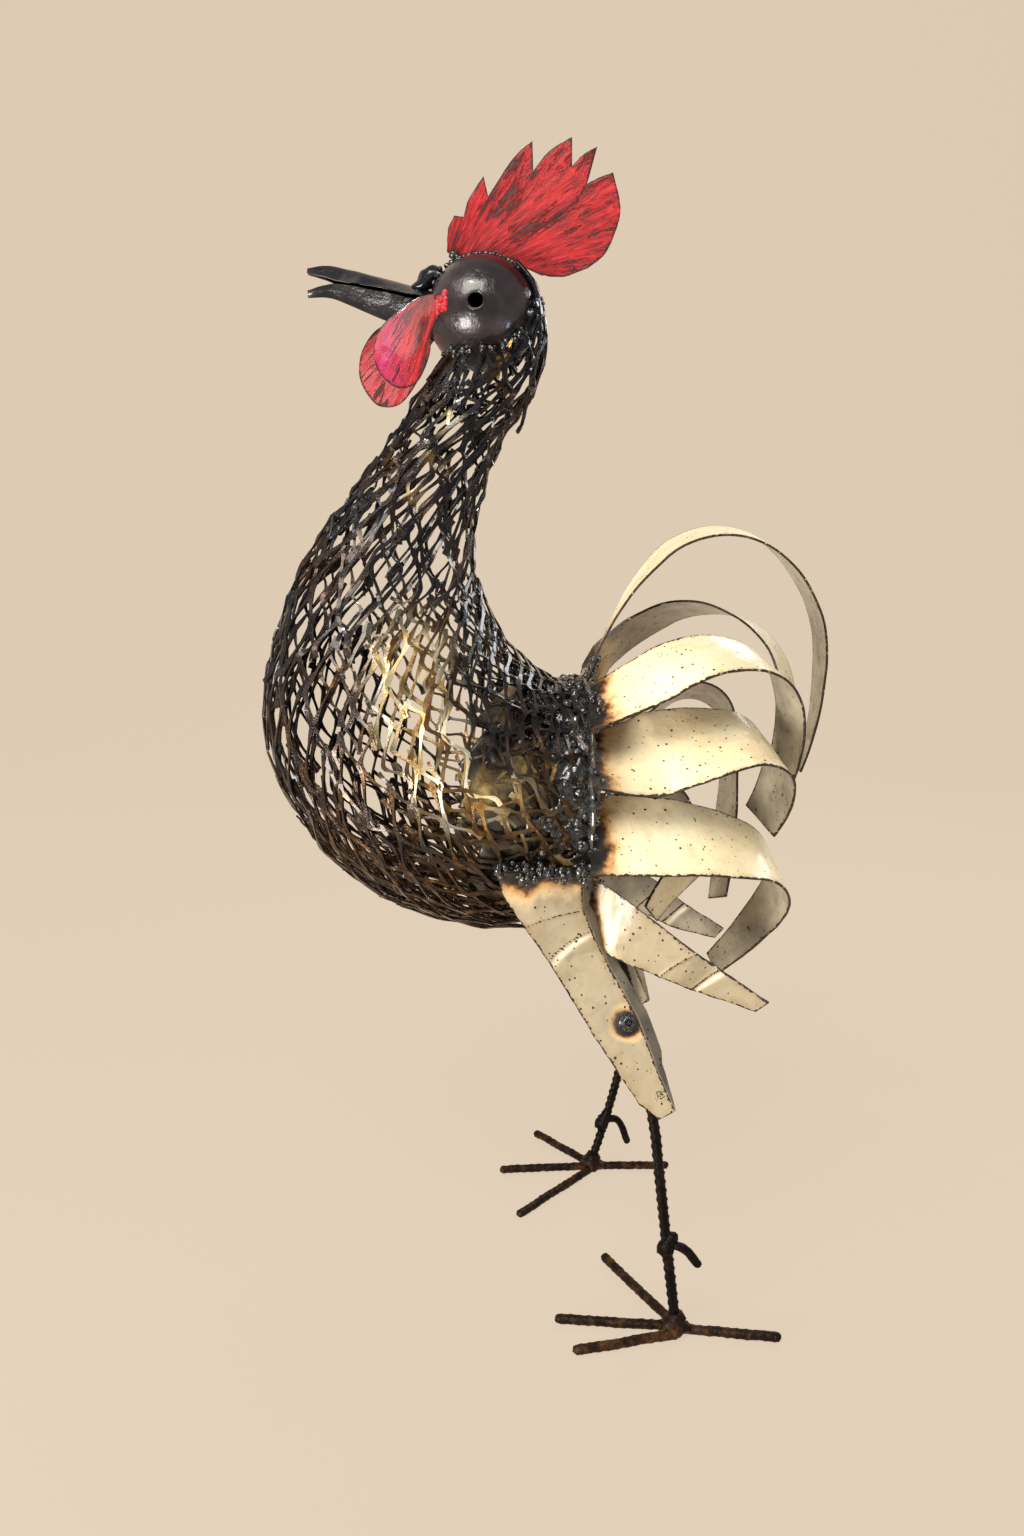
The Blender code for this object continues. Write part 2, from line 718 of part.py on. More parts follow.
def rod_at_height(side, height):
    """Where the leg's middle is at a height."""
    path = leg_path(side)
    for high, low in zip(path, path[1:]):
        if low.z <= height <= high.z:
            share = (height - low.z) / (high.z - low.z)
            return low.lerp(high, share)
    return path[0]


def thigh_edges(side):
    sign = SIDES[side]
    clear = LEG_ROD / 2 + GAP + PLATE_SHEET / 2
    edges = []
    for front_z, rear_z, front_x, rear_x, front_out, rear_out in THIGH:
        pair = []
        for height, shift, out in ((front_z, front_x, front_out), (rear_z, rear_x, rear_out)):
            point = rod_at_height(side, height * POSE).copy()
            point.z = height * POSE
            point.x += shift * POSE
            point.y += sign * (clear + out * POSE)
            pair.append(point)
        edges.append(tuple(pair))
    return edges


WING = (
    # upper edge, then lower edge
    ((0.0400, -0.0560, 0.3180), (0.0400, -0.0540, 0.2720)),
    ((0.0753, -0.0720, 0.2979), (0.0700, -0.0735, 0.2560)),
    ((0.1191, -0.0840, 0.2664), (0.1068, -0.0790, 0.2417)),
    ((0.1378, -0.0790, 0.2523), (0.1289, -0.0750, 0.2317)),
    ((0.1735, -0.0830, 0.2280), (0.1655, -0.0800, 0.2205)),
)


def make_plates():
    for side, sign in SIDES.items():
        edges = thigh_edges(side)
        add_object("thigh_plate_" + side, sheet_bm(edges, PLATE_SHEET), cream_enamel())
        make_bolt(side, edges)
        wing = []
        for pair in WING:
            wing.append(tuple(at(x, -sign * y, z) for x, y, z in pair))
        bm = trim_behind_rump(sheet_bm(wing, PLATE_SHEET))
        add_object("wing_plate_" + side, bm, cream_enamel())


def make_bolt(side, edges):
    """The bolt's head on the outside of the thigh plate, beside the rod."""
    sign = SIDES[side]
    above, (front, rear), below = edges[BOLT_STATION - 1:BOLT_STATION + 2]
    seat = front.lerp(rear, BOLT_SHARE)
    along = (below[0] + below[1]) - (above[0] + above[1])
    normal = along.cross(rear - front).normalized()
    if normal.y * sign < 0:
        normal = -normal
    height = PLATE_SHEET / 2 + GAP + BOLT_PROUD
    bolt = add_object(
        "thigh_bolt_" + side,
        cylinder_bm(seat, seat + normal * height, BOLT_HEAD / 2, ROUND_SIDES),
        weld_metal(),
        smooth=True,
    )
    cut(bolt, cutter("plate_seat_" + side, sheet_bm(edges, PLATE_SHEET + 2 * GAP)))


def centre_on_origin():
    """Moves the finished bird so that the middle of its footprint stands on the origin."""
    graph = bpy.context.evaluated_depsgraph_get()
    low = Vector((math.inf, math.inf))
    high = -low
    for thing in bpy.context.scene.objects:
        if thing.hide_render:
            continue
        mesh = thing.evaluated_get(graph).to_mesh()
        for vert in mesh.vertices:
            place = thing.matrix_world @ vert.co
            low = Vector((min(low.x, place.x), min(low.y, place.y)))
            high = Vector((max(high.x, place.x), max(high.y, place.y)))
    middle = (low + high) / 2
    for thing in bpy.context.scene.objects:
        thing.location -= Vector((middle.x, middle.y, 0))


def main():
    for thing in list(bpy.data.objects):
        bpy.data.objects.remove(thing)
    seat = make_head()
    make_beak(seat)
    make_comb(seat)
    make_wattles(seat)
    tracks = body_tracks()
    make_body(tracks)
    make_rump(tracks)
    make_tail()
    ankles = make_feet()
    make_legs(ankles)
    make_spurs()
    make_plates()
    bpy.context.view_layer.update()
    centre_on_origin()


main()
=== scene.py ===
"""The welded rooster as it looks: its mesh, sheet, rods and welds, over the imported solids.

Metres, +Z up. The bird looks towards -X, and its left side faces -Y.
"""
import math
import random

import bmesh
import bpy
from mathutils import Matrix, Vector, noise


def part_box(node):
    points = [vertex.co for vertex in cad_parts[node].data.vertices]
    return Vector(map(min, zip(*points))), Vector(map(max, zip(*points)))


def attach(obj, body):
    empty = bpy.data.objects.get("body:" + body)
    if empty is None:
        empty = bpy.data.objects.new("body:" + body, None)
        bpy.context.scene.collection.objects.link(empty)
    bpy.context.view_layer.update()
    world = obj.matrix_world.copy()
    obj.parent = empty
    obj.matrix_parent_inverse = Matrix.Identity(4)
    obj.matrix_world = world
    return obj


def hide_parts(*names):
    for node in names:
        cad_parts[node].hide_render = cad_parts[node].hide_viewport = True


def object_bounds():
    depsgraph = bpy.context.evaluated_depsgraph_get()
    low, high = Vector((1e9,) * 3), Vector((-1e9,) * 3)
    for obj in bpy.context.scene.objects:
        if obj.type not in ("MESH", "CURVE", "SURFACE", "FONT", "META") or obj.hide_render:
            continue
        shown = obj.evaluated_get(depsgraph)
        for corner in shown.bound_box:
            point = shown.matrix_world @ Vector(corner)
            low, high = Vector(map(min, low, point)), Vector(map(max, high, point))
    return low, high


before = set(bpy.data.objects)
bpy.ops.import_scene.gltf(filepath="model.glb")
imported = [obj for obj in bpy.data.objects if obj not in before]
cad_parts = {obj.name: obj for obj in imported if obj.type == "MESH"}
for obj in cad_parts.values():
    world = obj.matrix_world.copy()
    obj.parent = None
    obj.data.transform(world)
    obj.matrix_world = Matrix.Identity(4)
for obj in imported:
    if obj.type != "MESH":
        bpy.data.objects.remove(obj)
CAD_LOW, CAD_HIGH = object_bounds()

# Sizes that the solids were made from
BALL = 0.076
BALL_WALL = 0.002
BALL_INSET = 0.0004     # how far the dented skin lies inside the ball's own size
EYE_HOLE = 0.010
EYE_RING_WIDTH = 0.0018
EYE_RING_PROUD = 0.0010
STRAND = 0.003
FEATHER_SHEET = 0.0016
PLATE_SHEET = 0.0016
COMB_SHEET = 0.002
WATTLE_SHEET = 0.002
LEG_ROD = 0.008
TOE_ROD = 0.007
SPUR_ROD = 0.006
BOLT_HEAD = 0.013
GAP = 0.0003

SIDES = {"left": -1, "right": 1}
HEAD_DRAWN = Vector((-0.0198, 0, 0.6882))
head_low, head_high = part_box("head_ball")
SHIFT = (head_low + head_high) / 2 - HEAD_DRAWN


def at(x, y, z):
    """A place in the drawn pose, moved to where the solids stand."""
    return Vector((x, y, z)) + SHIFT


HEAD = at(*HEAD_DRAWN)
EYE = HEAD + Vector((-0.0039, 0, 0.0007))
RUMP_X = 0.050
RUMP_FACE = RUMP_X + STRAND / 2 + GAP + 0.003


def rough(place, scale, seed=0.0):
    """Smooth noise between about -1 and 1."""
    return noise.noise(place * scale + Vector((seed, seed * 0.7, -seed)))


def rough_shift(place, scale, seed=0.0):
    """Smooth noise in each direction."""
    return Vector([rough(place, scale, seed + shift) for shift in (17.3, 48.9, 91.1)])


def clamp(value, low=0, high=1):
    return min(max(value, low), high)


def turns(count):
    """Angles evenly round a circle."""
    return [2 * math.pi * i / count for i in range(count)]


def line_length(points):
    return sum((other - one).length for one, other in zip(points, points[1:]))


def linked(name, data):
    """A new object in the scene."""
    made = bpy.data.objects.new(name, data)
    bpy.context.scene.collection.objects.link(made)
    return made


def smooth_path(points, steps):
    """Points along a Catmull-Rom curve through the given points, with steps to each stretch."""
    first = points[0] * 2 - points[1]
    last = points[-1] * 2 - points[-2]
    ends = [first, *points, last]
    path = []
    for i in range(1, len(ends) - 2):
        before, start, end, after = ends[i - 1:i + 3]
        for step in range(steps):
            t = step / steps
            path.append(
                (
                    2 * start
                    + (end - before) * t
                    + (2 * before - 5 * start + 4 * end - after) * t * t
                    + (3 * start - before - 3 * end + after) * t * t * t
                )
                / 2
            )
    path.append(points[-1])
    return path


def even_path(points, spacing):
    """The same line with its points evenly spaced."""
    lengths = [0.0]
    for one, other in zip(points, points[1:]):
        lengths.append(lengths[-1] + (other - one).length)
    count = max(2, round(lengths[-1] / spacing))
    path = []
    i = 0
    for k in range(count + 1):
        want = lengths[-1] * k / count
        while i < len(points) - 2 and lengths[i + 1] < want:
            i += 1
        share = (want - lengths[i]) / max(lengths[i + 1] - lengths[i], 1e-9)
        path.append(points[i].lerp(points[i + 1], min(share, 1.0)))
    return path


class Shape:
    """Points, faces and named numbers at the points, which become one piece."""

    def __init__(self, *marks):
        self.points = []
        self.faces = []
        self.marks = {mark: [] for mark in marks}

    def add(self, place, **values):
        self.points.append(place)
        for mark, kept in self.marks.items():
            kept.append(values.get(mark, 0.0))
        return len(self.points) - 1

    def skin(self, rows, around=True, ends=True):
        """Faces between rows of as many point numbers each."""
        count = len(rows[0])
        for low, high in zip(rows, rows[1:]):
            for i in range(count if around else count - 1):
                j = (i + 1) % count
                self.faces.append((low[i], low[j], high[j], high[i]))
        if ends:
            self.faces.append(tuple(reversed(rows[0])))
            self.faces.append(tuple(rows[-1]))

    def strand(self, path, normals, wide, thick, sides=4, **values):
        """A ribbon along a path, wide across the surface and thick through it. wide may be a list."""
        rows = []
        last = len(path) - 1
        for i, place in enumerate(path):
            along = (path[min(i + 1, last)] - path[max(i - 1, 0)]).normalized()
            across = along.cross(normals[i]).normalized()
            above = across.cross(along)
            row = []
            for k in range(sides):
                angle = 2 * math.pi * (k + 0.5) / sides
                size = wide[i] if isinstance(wide, list) else wide
                offset = across * (size * math.cos(angle)) + above * (thick * math.sin(angle))
                row.append(self.add(place + offset, **values))
            rows.append(row)
        self.skin(rows)

    def lump(self, centre, size, seed, **values):
        """A small uneven blob."""
        start = len(self.points)
        for place in BLOB_POINTS:
            bulge = 1 + 0.35 * rough(place, 1.6, seed)
            offset = Vector((place.x * size.x, place.y * size.y, place.z * size.z)) * bulge
            self.add(centre + offset, **values)
        for face in BLOB_FACES:
            self.faces.append(tuple(start + i for i in face))

    def net(self, numbers, rows, slots):
        """Faces round a tube wherever all four corners have a point. numbers holds them by row and slot."""
        for k in range(rows - 1):
            for slot in range(slots):
                beside = (slot + 1) % slots
                corners = [(k, slot), (k, beside), (k + 1, beside), (k + 1, slot)]
                if all(corner in numbers for corner in corners):
                    self.faces.append(tuple(numbers[corner] for corner in corners))

    def piece(self, name, finish, nodes=(), sharp=50, tidy=True, behind=None):
        """Makes the piece on the root body, inside the solids' box. behind cuts off all ahead of that x."""
        mesh = bpy.data.meshes.new(name)
        places = []
        for place in self.points:
            places.append(tuple(clamp(place[i], CAD_LOW[i], CAD_HIGH[i]) for i in range(3)))
        mesh.from_pydata(places, [], self.faces)
        for mark, values in self.marks.items():
            layer = mesh.attributes.new(mark, "FLOAT", "POINT")
            layer.data.foreach_set("value", values)
        if tidy:
            bm = bmesh.new()
            bm.from_mesh(mesh)
            if behind is not None:
                everything = bm.verts[:] + bm.edges[:] + bm.faces[:]
                bmesh.ops.bisect_plane(bm, geom=everything, plane_co=(behind, 0, 0), plane_no=(1, 0, 0),
                                       clear_inner=True)
                bmesh.ops.holes_fill(bm, edges=[edge for edge in bm.edges if edge.is_boundary])
            bmesh.ops.recalc_face_normals(bm, faces=bm.faces)
            bm.to_mesh(mesh)
            bm.free()
        mesh.shade_smooth()
        mesh.set_sharp_from_angle(angle=math.radians(sharp))
        mesh.materials.append(finish)
        made = linked(name, mesh)
        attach(made, "root")
        for node in nodes:
            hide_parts(node)
        return made


def blob():
    """An icosphere's points and faces, for lumps of weld."""
    bm = bmesh.new()
    bmesh.ops.create_icosphere(bm, subdivisions=2, radius=1)
    points = [vert.co.copy() for vert in bm.verts]
    faces = [tuple(vert.index for vert in face.verts) for face in bm.faces]
    bm.free()
    return points, faces


BLOB_POINTS, BLOB_FACES = blob()


# Finishes

class Finish:
    """A material whose nodes are added by short calls. Places are in metres."""

    def __init__(self, name):
        self.made = bpy.data.materials.new(name)
        self.made.use_nodes = True
        self.nodes = self.made.node_tree.nodes
        self.links = self.made.node_tree.links
        self.shader = self.nodes["Principled BSDF"]
        self.place = self.nodes.new("ShaderNodeTexCoord").outputs["Object"]

    def put(self, socket, value):
        """Links a value that varies, or sets one that doesn't."""
        if isinstance(value, bpy.types.NodeSocket):
            self.links.new(value, socket)
        elif isinstance(value, (tuple, list)):
            socket.default_value = (*value, 1) if len(socket.default_value) == 4 else value
        else:
            socket.default_value = value

    def set(self, **values):
        for name, value in values.items():
            self.put(self.shader.inputs[name.replace("_", " ").title().replace("Ior", "IOR")], value)

    def mark(self, name):
        node = self.nodes.new("ShaderNodeAttribute")
        node.attribute_name = name
        return node.outputs["Fac"]

    def stretched(self, scale, turn):
        node = self.nodes.new("ShaderNodeMapping")
        self.put(node.inputs["Vector"], self.place)
        node.inputs["Scale"].default_value = scale
        node.inputs["Rotation"].default_value = [math.radians(angle) for angle in turn]
        return node.outputs["Vector"]

    def noise(self, scale, detail=3.0, rough=0.55, place=None, distort=0.0):
        node = self.nodes.new("ShaderNodeTexNoise")
        self.put(node.inputs["Vector"], place or self.place)
        node.inputs["Scale"].default_value = scale
        node.inputs["Detail"].default_value = detail
        node.inputs["Roughness"].default_value = rough
        node.inputs["Distortion"].default_value = distort
        return node.outputs["Fac"]

    def cells(self, scale):
        node = self.nodes.new("ShaderNodeTexVoronoi")
        self.put(node.inputs["Vector"], self.place)
        node.inputs["Scale"].default_value = scale
        return node.outputs["Distance"]

    def math(self, operation, one, other):
        node = self.nodes.new("ShaderNodeMath")
        node.operation = operation
        self.put(node.inputs[0], one)
        self.put(node.inputs[1], other)
        return node.outputs[0]

    def plus(self, one, other):
        return self.math("ADD", one, other)

    def times(self, one, other):
        return self.math("MULTIPLY", one, other)

    def band(self, value, low, high, new_low=0.0, new_high=1.0):
        """A value from low to high becomes one from new_low to new_high, and no further."""
        node = self.nodes.new("ShaderNodeMapRange")
        self.put(node.inputs["Value"], value)
        node.inputs["From Min"].default_value = low
        node.inputs["From Max"].default_value = high
        node.inputs["To Min"].default_value = new_low
        node.inputs["To Max"].default_value = new_high
        return node.outputs["Result"]

    def colours(self, value, *stops):
        """A colour ramp through (position, colour) stops."""
        node = self.nodes.new("ShaderNodeValToRGB")
        self.put(node.inputs["Fac"], value)
        ramp = node.color_ramp
        while len(ramp.elements) < len(stops):
            ramp.elements.new(0.5)
        for element, (position, colour) in zip(ramp.elements, stops):
            element.position = position
        for element, (position, colour) in zip(ramp.elements, stops):
            element.color = (*colour, 1)
        return node.outputs["Color"]

    def mix(self, share, one, other):
        node = self.nodes.new("ShaderNodeMix")
        node.data_type = "RGBA"
        self.put(node.inputs["Factor"], share)
        self.put(node.inputs[6], one)
        self.put(node.inputs[7], other)
        return node.outputs[2]

    def near(self, centre, radius):
        """1 at a place, falling to 0 at a radius from it."""
        node = self.nodes.new("ShaderNodeVectorMath")
        node.operation = "DISTANCE"
        self.put(node.inputs[0], self.place)
        node.inputs[1].default_value = centre
        return self.band(node.outputs["Value"], radius, 0.0)

    def bump(self, height, distance, strength=1.0, under=None):
        node = self.nodes.new("ShaderNodeBump")
        self.put(node.inputs["Height"], height)
        node.inputs["Distance"].default_value = distance
        node.inputs["Strength"].default_value = strength
        if under is not None:
            self.put(node.inputs["Normal"], under)
        return node.outputs["Normal"]


def wire_finish():
    """Blackened expanded metal under varnish, brown in places and heat-tinted gold in a band."""
    look = Finish("wire_black")
    shade = look.mark("shade")
    patchy = look.noise(55, 3, 0.6)
    base = look.colours(
        look.plus(look.times(shade, 0.45), look.times(patchy, 0.6)),
        (0.25, (0.0030, 0.0035, 0.0055)), (0.55, (0.0085, 0.0088, 0.012)), (0.85, (0.034, 0.029, 0.026)),
    )
    rust = look.colours(
        look.noise(140, 3, 0.6),
        (0.3, (0.010, 0.005, 0.002)), (0.55, (0.048, 0.022, 0.007)), (0.75, (0.17, 0.085, 0.030)),
    )
    mixed = look.mix(look.mark("brown"), base, rust)
    gold = look.colours(
        look.plus(look.times(shade, 0.35), look.times(look.noise(60, 2, 0.6), 0.75)),
        (0.30, (0.22, 0.08, 0.015)), (0.46, (0.52, 0.29, 0.07)), (0.62, (0.80, 0.60, 0.27)),
        (0.76, (0.86, 0.82, 0.70)),
    )
    gilt = look.mark("gilt")
    colour = look.mix(gilt, mixed, gold)
    grain = look.noise(850, 2, 0.6)
    look.set(
        base_color=colour,
        metallic=look.band(gilt, 0.1, 0.8, 0.6, 0.15),
        roughness=look.band(grain, 0.35, 0.7, 0.16, 0.36),
        specular_ior_level=0.3,
        coat_weight=0.30,
        coat_roughness=0.05,
        normal=look.bump(grain, 0.0003),
    )
    return look.made


def slag_finish():
    """Lumpy black weld metal, glossy in its hollows, with brown and ash in places."""
    look = Finish("slag_black")
    fine = look.noise(420, 4, 0.65)
    colour = look.colours(
        look.noise(70, 4, 0.6), (0.3, (0.0035, 0.0035, 0.004)), (0.52, (0.010, 0.0095, 0.009)),
        (0.64, (0.024, 0.018, 0.012)), (0.78, (0.08, 0.07, 0.056)),
    )
    colour = look.mix(look.mark("cream"), colour, (0.62, 0.43, 0.2))
    look.set(
        base_color=colour,
        metallic=0.35,
        roughness=look.band(look.noise(300, 3, 0.6), 0.35, 0.65, 0.10, 0.35),
        coat_weight=1.0,
        coat_roughness=0.04,
        normal=look.bump(fine, 0.0010, 1.0, look.bump(look.noise(120, 3, 0.6), 0.003)),
    )
    return look.made


def sooty_finish():
    """The sheet under the rear of the mesh: sooty olive black, with amber varnish where it is clean."""
    look = Finish("sheet_sooty")
    cloud = look.noise(60, 4, 0.6)
    sooty = look.colours(
        cloud, (0.35, (0.010, 0.009, 0.007)), (0.55, (0.030, 0.026, 0.017)), (0.72, (0.085, 0.070, 0.040)),
    )
    amber = look.colours(
        look.noise(110, 3, 0.6),
        (0.3, (0.07, 0.045, 0.015)), (0.52, (0.24, 0.16, 0.055)), (0.7, (0.52, 0.38, 0.17)),
    )
    colour = look.mix(look.mark("panel"), sooty, amber)
    look.set(
        base_color=colour,
        metallic=0.1,
        roughness=look.band(cloud, 0.35, 0.65, 0.18, 0.4),
        coat_weight=0.6,
        coat_roughness=0.08,
        normal=look.bump(cloud, 0.0012),
    )
    return look.made


def ball_finish():
    """The burnished ball: near black, brown where it is rubbed, with fine scratches under varnish."""
    look = Finish("ball_burnished")
    cloud = look.noise(28, 4, 0.6)
    colour = look.colours(
        cloud, (0.32, (0.008, 0.0055, 0.007)), (0.5, (0.016, 0.0115, 0.014)), (0.66, (0.038, 0.026, 0.028)),
    )
    streaks = look.noise(1, 3, 0.6, look.stretched((900, 900, 60), (0, 35, 0)))
    spots = look.band(look.cells(240), 0.10, 0.04)
    colour = look.mix(look.times(spots, look.band(cloud, 0.5, 0.6)), colour, (0.002, 0.002, 0.002))
    look.set(
        base_color=colour,
        metallic=0.25,
        roughness=look.band(look.plus(look.times(cloud, 0.7), look.times(streaks, 0.3)),
                            0.35, 0.65, 0.14, 0.30),
        coat_weight=0.35,
        coat_roughness=0.10,
        normal=look.bump(streaks, 0.00030, 1.0, look.bump(cloud, 0.0022)),
    )
    return look.made


def beak_finish():
    """Dark sheet, blue black with a few grey patches, scratched along its length."""
    look = Finish("beak_dark")
    cloud = look.noise(60, 4, 0.6)
    colour = look.colours(
        cloud, (0.3, (0.003, 0.003, 0.005)), (0.5, (0.007, 0.007, 0.011)), (0.64, (0.028, 0.026, 0.028)),
        (0.78, (0.09, 0.078, 0.07)),
    )
    scratches = look.noise(1, 3, 0.6, look.stretched((80, 700, 900), (0, 12, 0)))
    look.set(
        base_color=colour,
        metallic=0.5,
        roughness=look.band(scratches, 0.35, 0.65, 0.18, 0.30),
        coat_weight=0.4,
        coat_roughness=0.07,
        normal=look.bump(scratches, 0.00004, 1.0, look.bump(cloud, 0.0015)),
    )
    return look.made


def rod_finish(name, tone):
    """Rust-brown ribbed bar under varnish. A low tone is nearly black."""
    look = Finish(name)
    cloud = look.noise(90, 4, 0.65)
    stops = (
        (0.3, (0.0035, 0.0014, 0.0008)), (0.5, (0.010, 0.0042, 0.002)), (0.64, (0.042, 0.018, 0.006)),
        (0.78, (0.12, 0.055, 0.018)),
    )
    colour = look.colours(cloud, *((stop, tuple(tone * part for part in shade)) for stop, shade in stops))
    fine = look.noise(600, 3, 0.6)
    look.set(
        base_color=colour,
        roughness=look.band(fine, 0.35, 0.65, 0.30, 0.5),
        specular_ior_level=0.10,
        normal=look.bump(fine, 0.0004, 1.0, look.bump(cloud, 0.001)),
    )
    return look.made


def enamel_finish(name, light, dark, stain, scuff=None):
    """Old cream enamel: scorched at the weld, dark along its edges and folds, with chips and scratches.

    A scuff is a place with a patch of extra scratches.
    """
    look = Finish(name)
    root = look.mark("root")
    edge = look.mark("edge")
    inner = look.mark("inner")
    fold = look.mark("fold")
    soot = look.mark("soot")
    rubbed = look.mark("rubbed")
    wide = look.noise(22, 3, 0.55)
    mid = look.noise(95, 4, 0.6)
    fine = look.noise(520, 3, 0.6)
    colour = look.mix(look.band(wide, 0.38, 0.62), light, dark)
    colour = look.mix(look.band(mid, 0.52, 0.75, 0.0, 0.55), colour, stain)
    back = look.mix(look.band(wide, 0.4, 0.6), (0.44, 0.38, 0.27), (0.24, 0.205, 0.15))
    back = look.mix(look.band(mid, 0.5, 0.75, 0.0, 0.6), back, (0.16, 0.13, 0.095))
    colour = look.mix(inner, colour, back)
    far = look.plus(root, look.band(mid, 0.3, 0.7, -0.004, 0.004))
    far = look.plus(far, look.band(wide, 0.3, 0.7, -0.005, 0.005))
    scorched = look.colours(
        look.band(far, -0.001, 0.016),
        (0.04, (0.004, 0.003, 0.002)), (0.20, (0.018, 0.008, 0.004)), (0.34, (0.14, 0.055, 0.015)),
        (0.50, (0.46, 0.25, 0.09)), (0.80, (0.70, 0.49, 0.24)),
    )
    colour = look.mix(look.band(far, 0.008, 0.020, 1.0, 0.0), colour, scorched)
    colour = look.mix(look.times(rubbed, look.band(mid, 0.35, 0.6, 0.4, 1.0)), colour, (0.86, 0.76, 0.56))
    colour = look.mix(look.times(soot, look.band(mid, 0.3, 0.7, 1.0, 0.75)), colour, (0.030, 0.028, 0.027))
    # Chips: specks, and short scratches of bare dark steel
    specks = look.math("LESS_THAN", look.plus(look.cells(190), look.band(mid, 0.4, 0.7, 0.14, 0.0)), 0.215)
    scratches = look.noise(1, 2, 0.7, look.stretched((700, 700, 110), (0, 62, 0)))
    cuts = look.math("GREATER_THAN", look.plus(scratches, look.band(wide, 0.35, 0.65, -0.06, 0.05)), 0.725)
    chips = look.math("MAXIMUM", specks, cuts)
    if scuff is not None:
        scribble = look.noise(1, 2, 0.7, look.stretched((260, 260, 900), (0, -38, 0)), 1.2)
        there = look.times(look.near(scuff, 0.013), scribble)
        chips = look.math("MAXIMUM", chips, look.math("GREATER_THAN", there, 0.27))
    ragged = look.plus(edge, look.band(look.noise(330, 3, 0.7), 0.3, 0.7, 0.0011, -0.0012))
    worn = look.math("LESS_THAN", ragged, 0.0007)
    chips = look.math("MAXIMUM", chips, worn)
    ragged_fold = look.plus(fold, look.band(look.noise(420, 3, 0.7), 0.3, 0.7, -0.28, 0.30))
    chips = look.math("MAXIMUM", chips, look.math("GREATER_THAN", ragged_fold, 0.72))
    steel = look.mix(look.band(fine, 0.4, 0.6), (0.012, 0.008, 0.006), (0.06, 0.035, 0.02))
    smoked = look.math("MAXIMUM", look.band(edge, 0.0045, 0.0, 0.0, 0.5), look.times(fold, 0.5))
    colour = look.mix(look.times(smoked, look.band(mid, 0.3, 0.6)), colour, (0.24, 0.13, 0.05))
    colour = look.mix(chips, colour, steel)
    relief = look.math("SUBTRACT", look.times(mid, 0.8), chips)
    look.set(
        base_color=colour,
        metallic=look.times(chips, 0.5),
        roughness=look.band(look.plus(mid, look.times(chips, 0.5)), 0.35, 0.9, 0.24, 0.55),
        coat_weight=0.16,
        coat_roughness=0.12,
        normal=look.bump(relief, 0.0005, 0.9, look.bump(wide, 0.003)),
    )
    return look.made


def red_finish(name, tint, stroke, gloss):
    """Red paint brushed over dark steel, with dark streaks between strokes that fan out by the marks."""
    look = Finish(name)
    edge = look.mark("edge")
    join = look.nodes.new("ShaderNodeCombineXYZ")
    look.put(join.inputs[0], look.times(look.mark("across"), stroke[0]))
    look.put(join.inputs[1], look.times(look.mark("along"), stroke[1]))
    fan = join.outputs[0]
    strokes = look.noise(1.0, 5, 0.72, fan, 0.5)
    broad = look.noise(0.30, 3, 0.6, fan, 0.4)
    wide = look.noise(42, 2, 0.5)
    colour = look.colours(
        strokes, (0.34, (0.09, 0.007, 0.009)), (0.46, (0.27, 0.008, 0.011)), (0.58, (0.44, 0.015, 0.018)),
        (0.74, (0.56, 0.035, 0.034)),
    )
    colour = look.mix(look.times(look.mark("tint"), look.band(broad, 0.3, 0.6)), colour, tint)
    bare = look.plus(strokes, look.band(broad, 0.36, 0.64, -0.13, 0.13))
    bare = look.plus(bare, look.band(wide, 0.35, 0.65, -0.07, 0.07))
    bare = look.band(bare, 0.575, 0.64)
    steel = look.mix(look.noise(300, 2, 0.5), (0.010, 0.006, 0.007), (0.11, 0.04, 0.034))
    colour = look.mix(bare, colour, steel)
    worn = look.band(look.plus(edge, look.band(strokes, 0.3, 0.7, -0.0012, 0.0012)), 0.0012, 0.0004)
    colour = look.mix(worn, colour, (0.03, 0.012, 0.012))
    look.set(
        base_color=colour,
        roughness=look.band(strokes, 0.3, 0.7, 0.3, 0.5),
        specular_ior_level=0.25,
        coat_weight=gloss,
        coat_roughness=0.12,
        normal=look.bump(look.math("SUBTRACT", strokes, look.times(bare, 0.6)), 0.0018, 1.0),
    )
    return look.made


WIRE = wire_finish()
SLAG = slag_finish()
SOOTY = sooty_finish()
BALL_STEEL = ball_finish()
BEAK_STEEL = beak_finish()
ROD = rod_finish("rod_brown", 1.2)
ROD_DARK = rod_finish("rod_dark", 0.22)
CREAM = enamel_finish("enamel_cream", (0.83, 0.73, 0.49), (0.78, 0.64, 0.39), (0.60, 0.45, 0.23))
# The tail's cream enamel with all its colours made much darker, as painted shade, for the thigh and wing
# plates.
CREAM_SHADED = enamel_finish("enamel_painted_shade", (0.35, 0.293, 0.195), (0.295, 0.233, 0.14), (0.21, 0.15, 0.08),
                           at(0.0991, -0.109, 0.1717))


# Head

def object_of(bm, name):
    mesh = bpy.data.meshes.new(name)
    bm.to_mesh(mesh)
    bm.free()
    return linked(name, mesh)


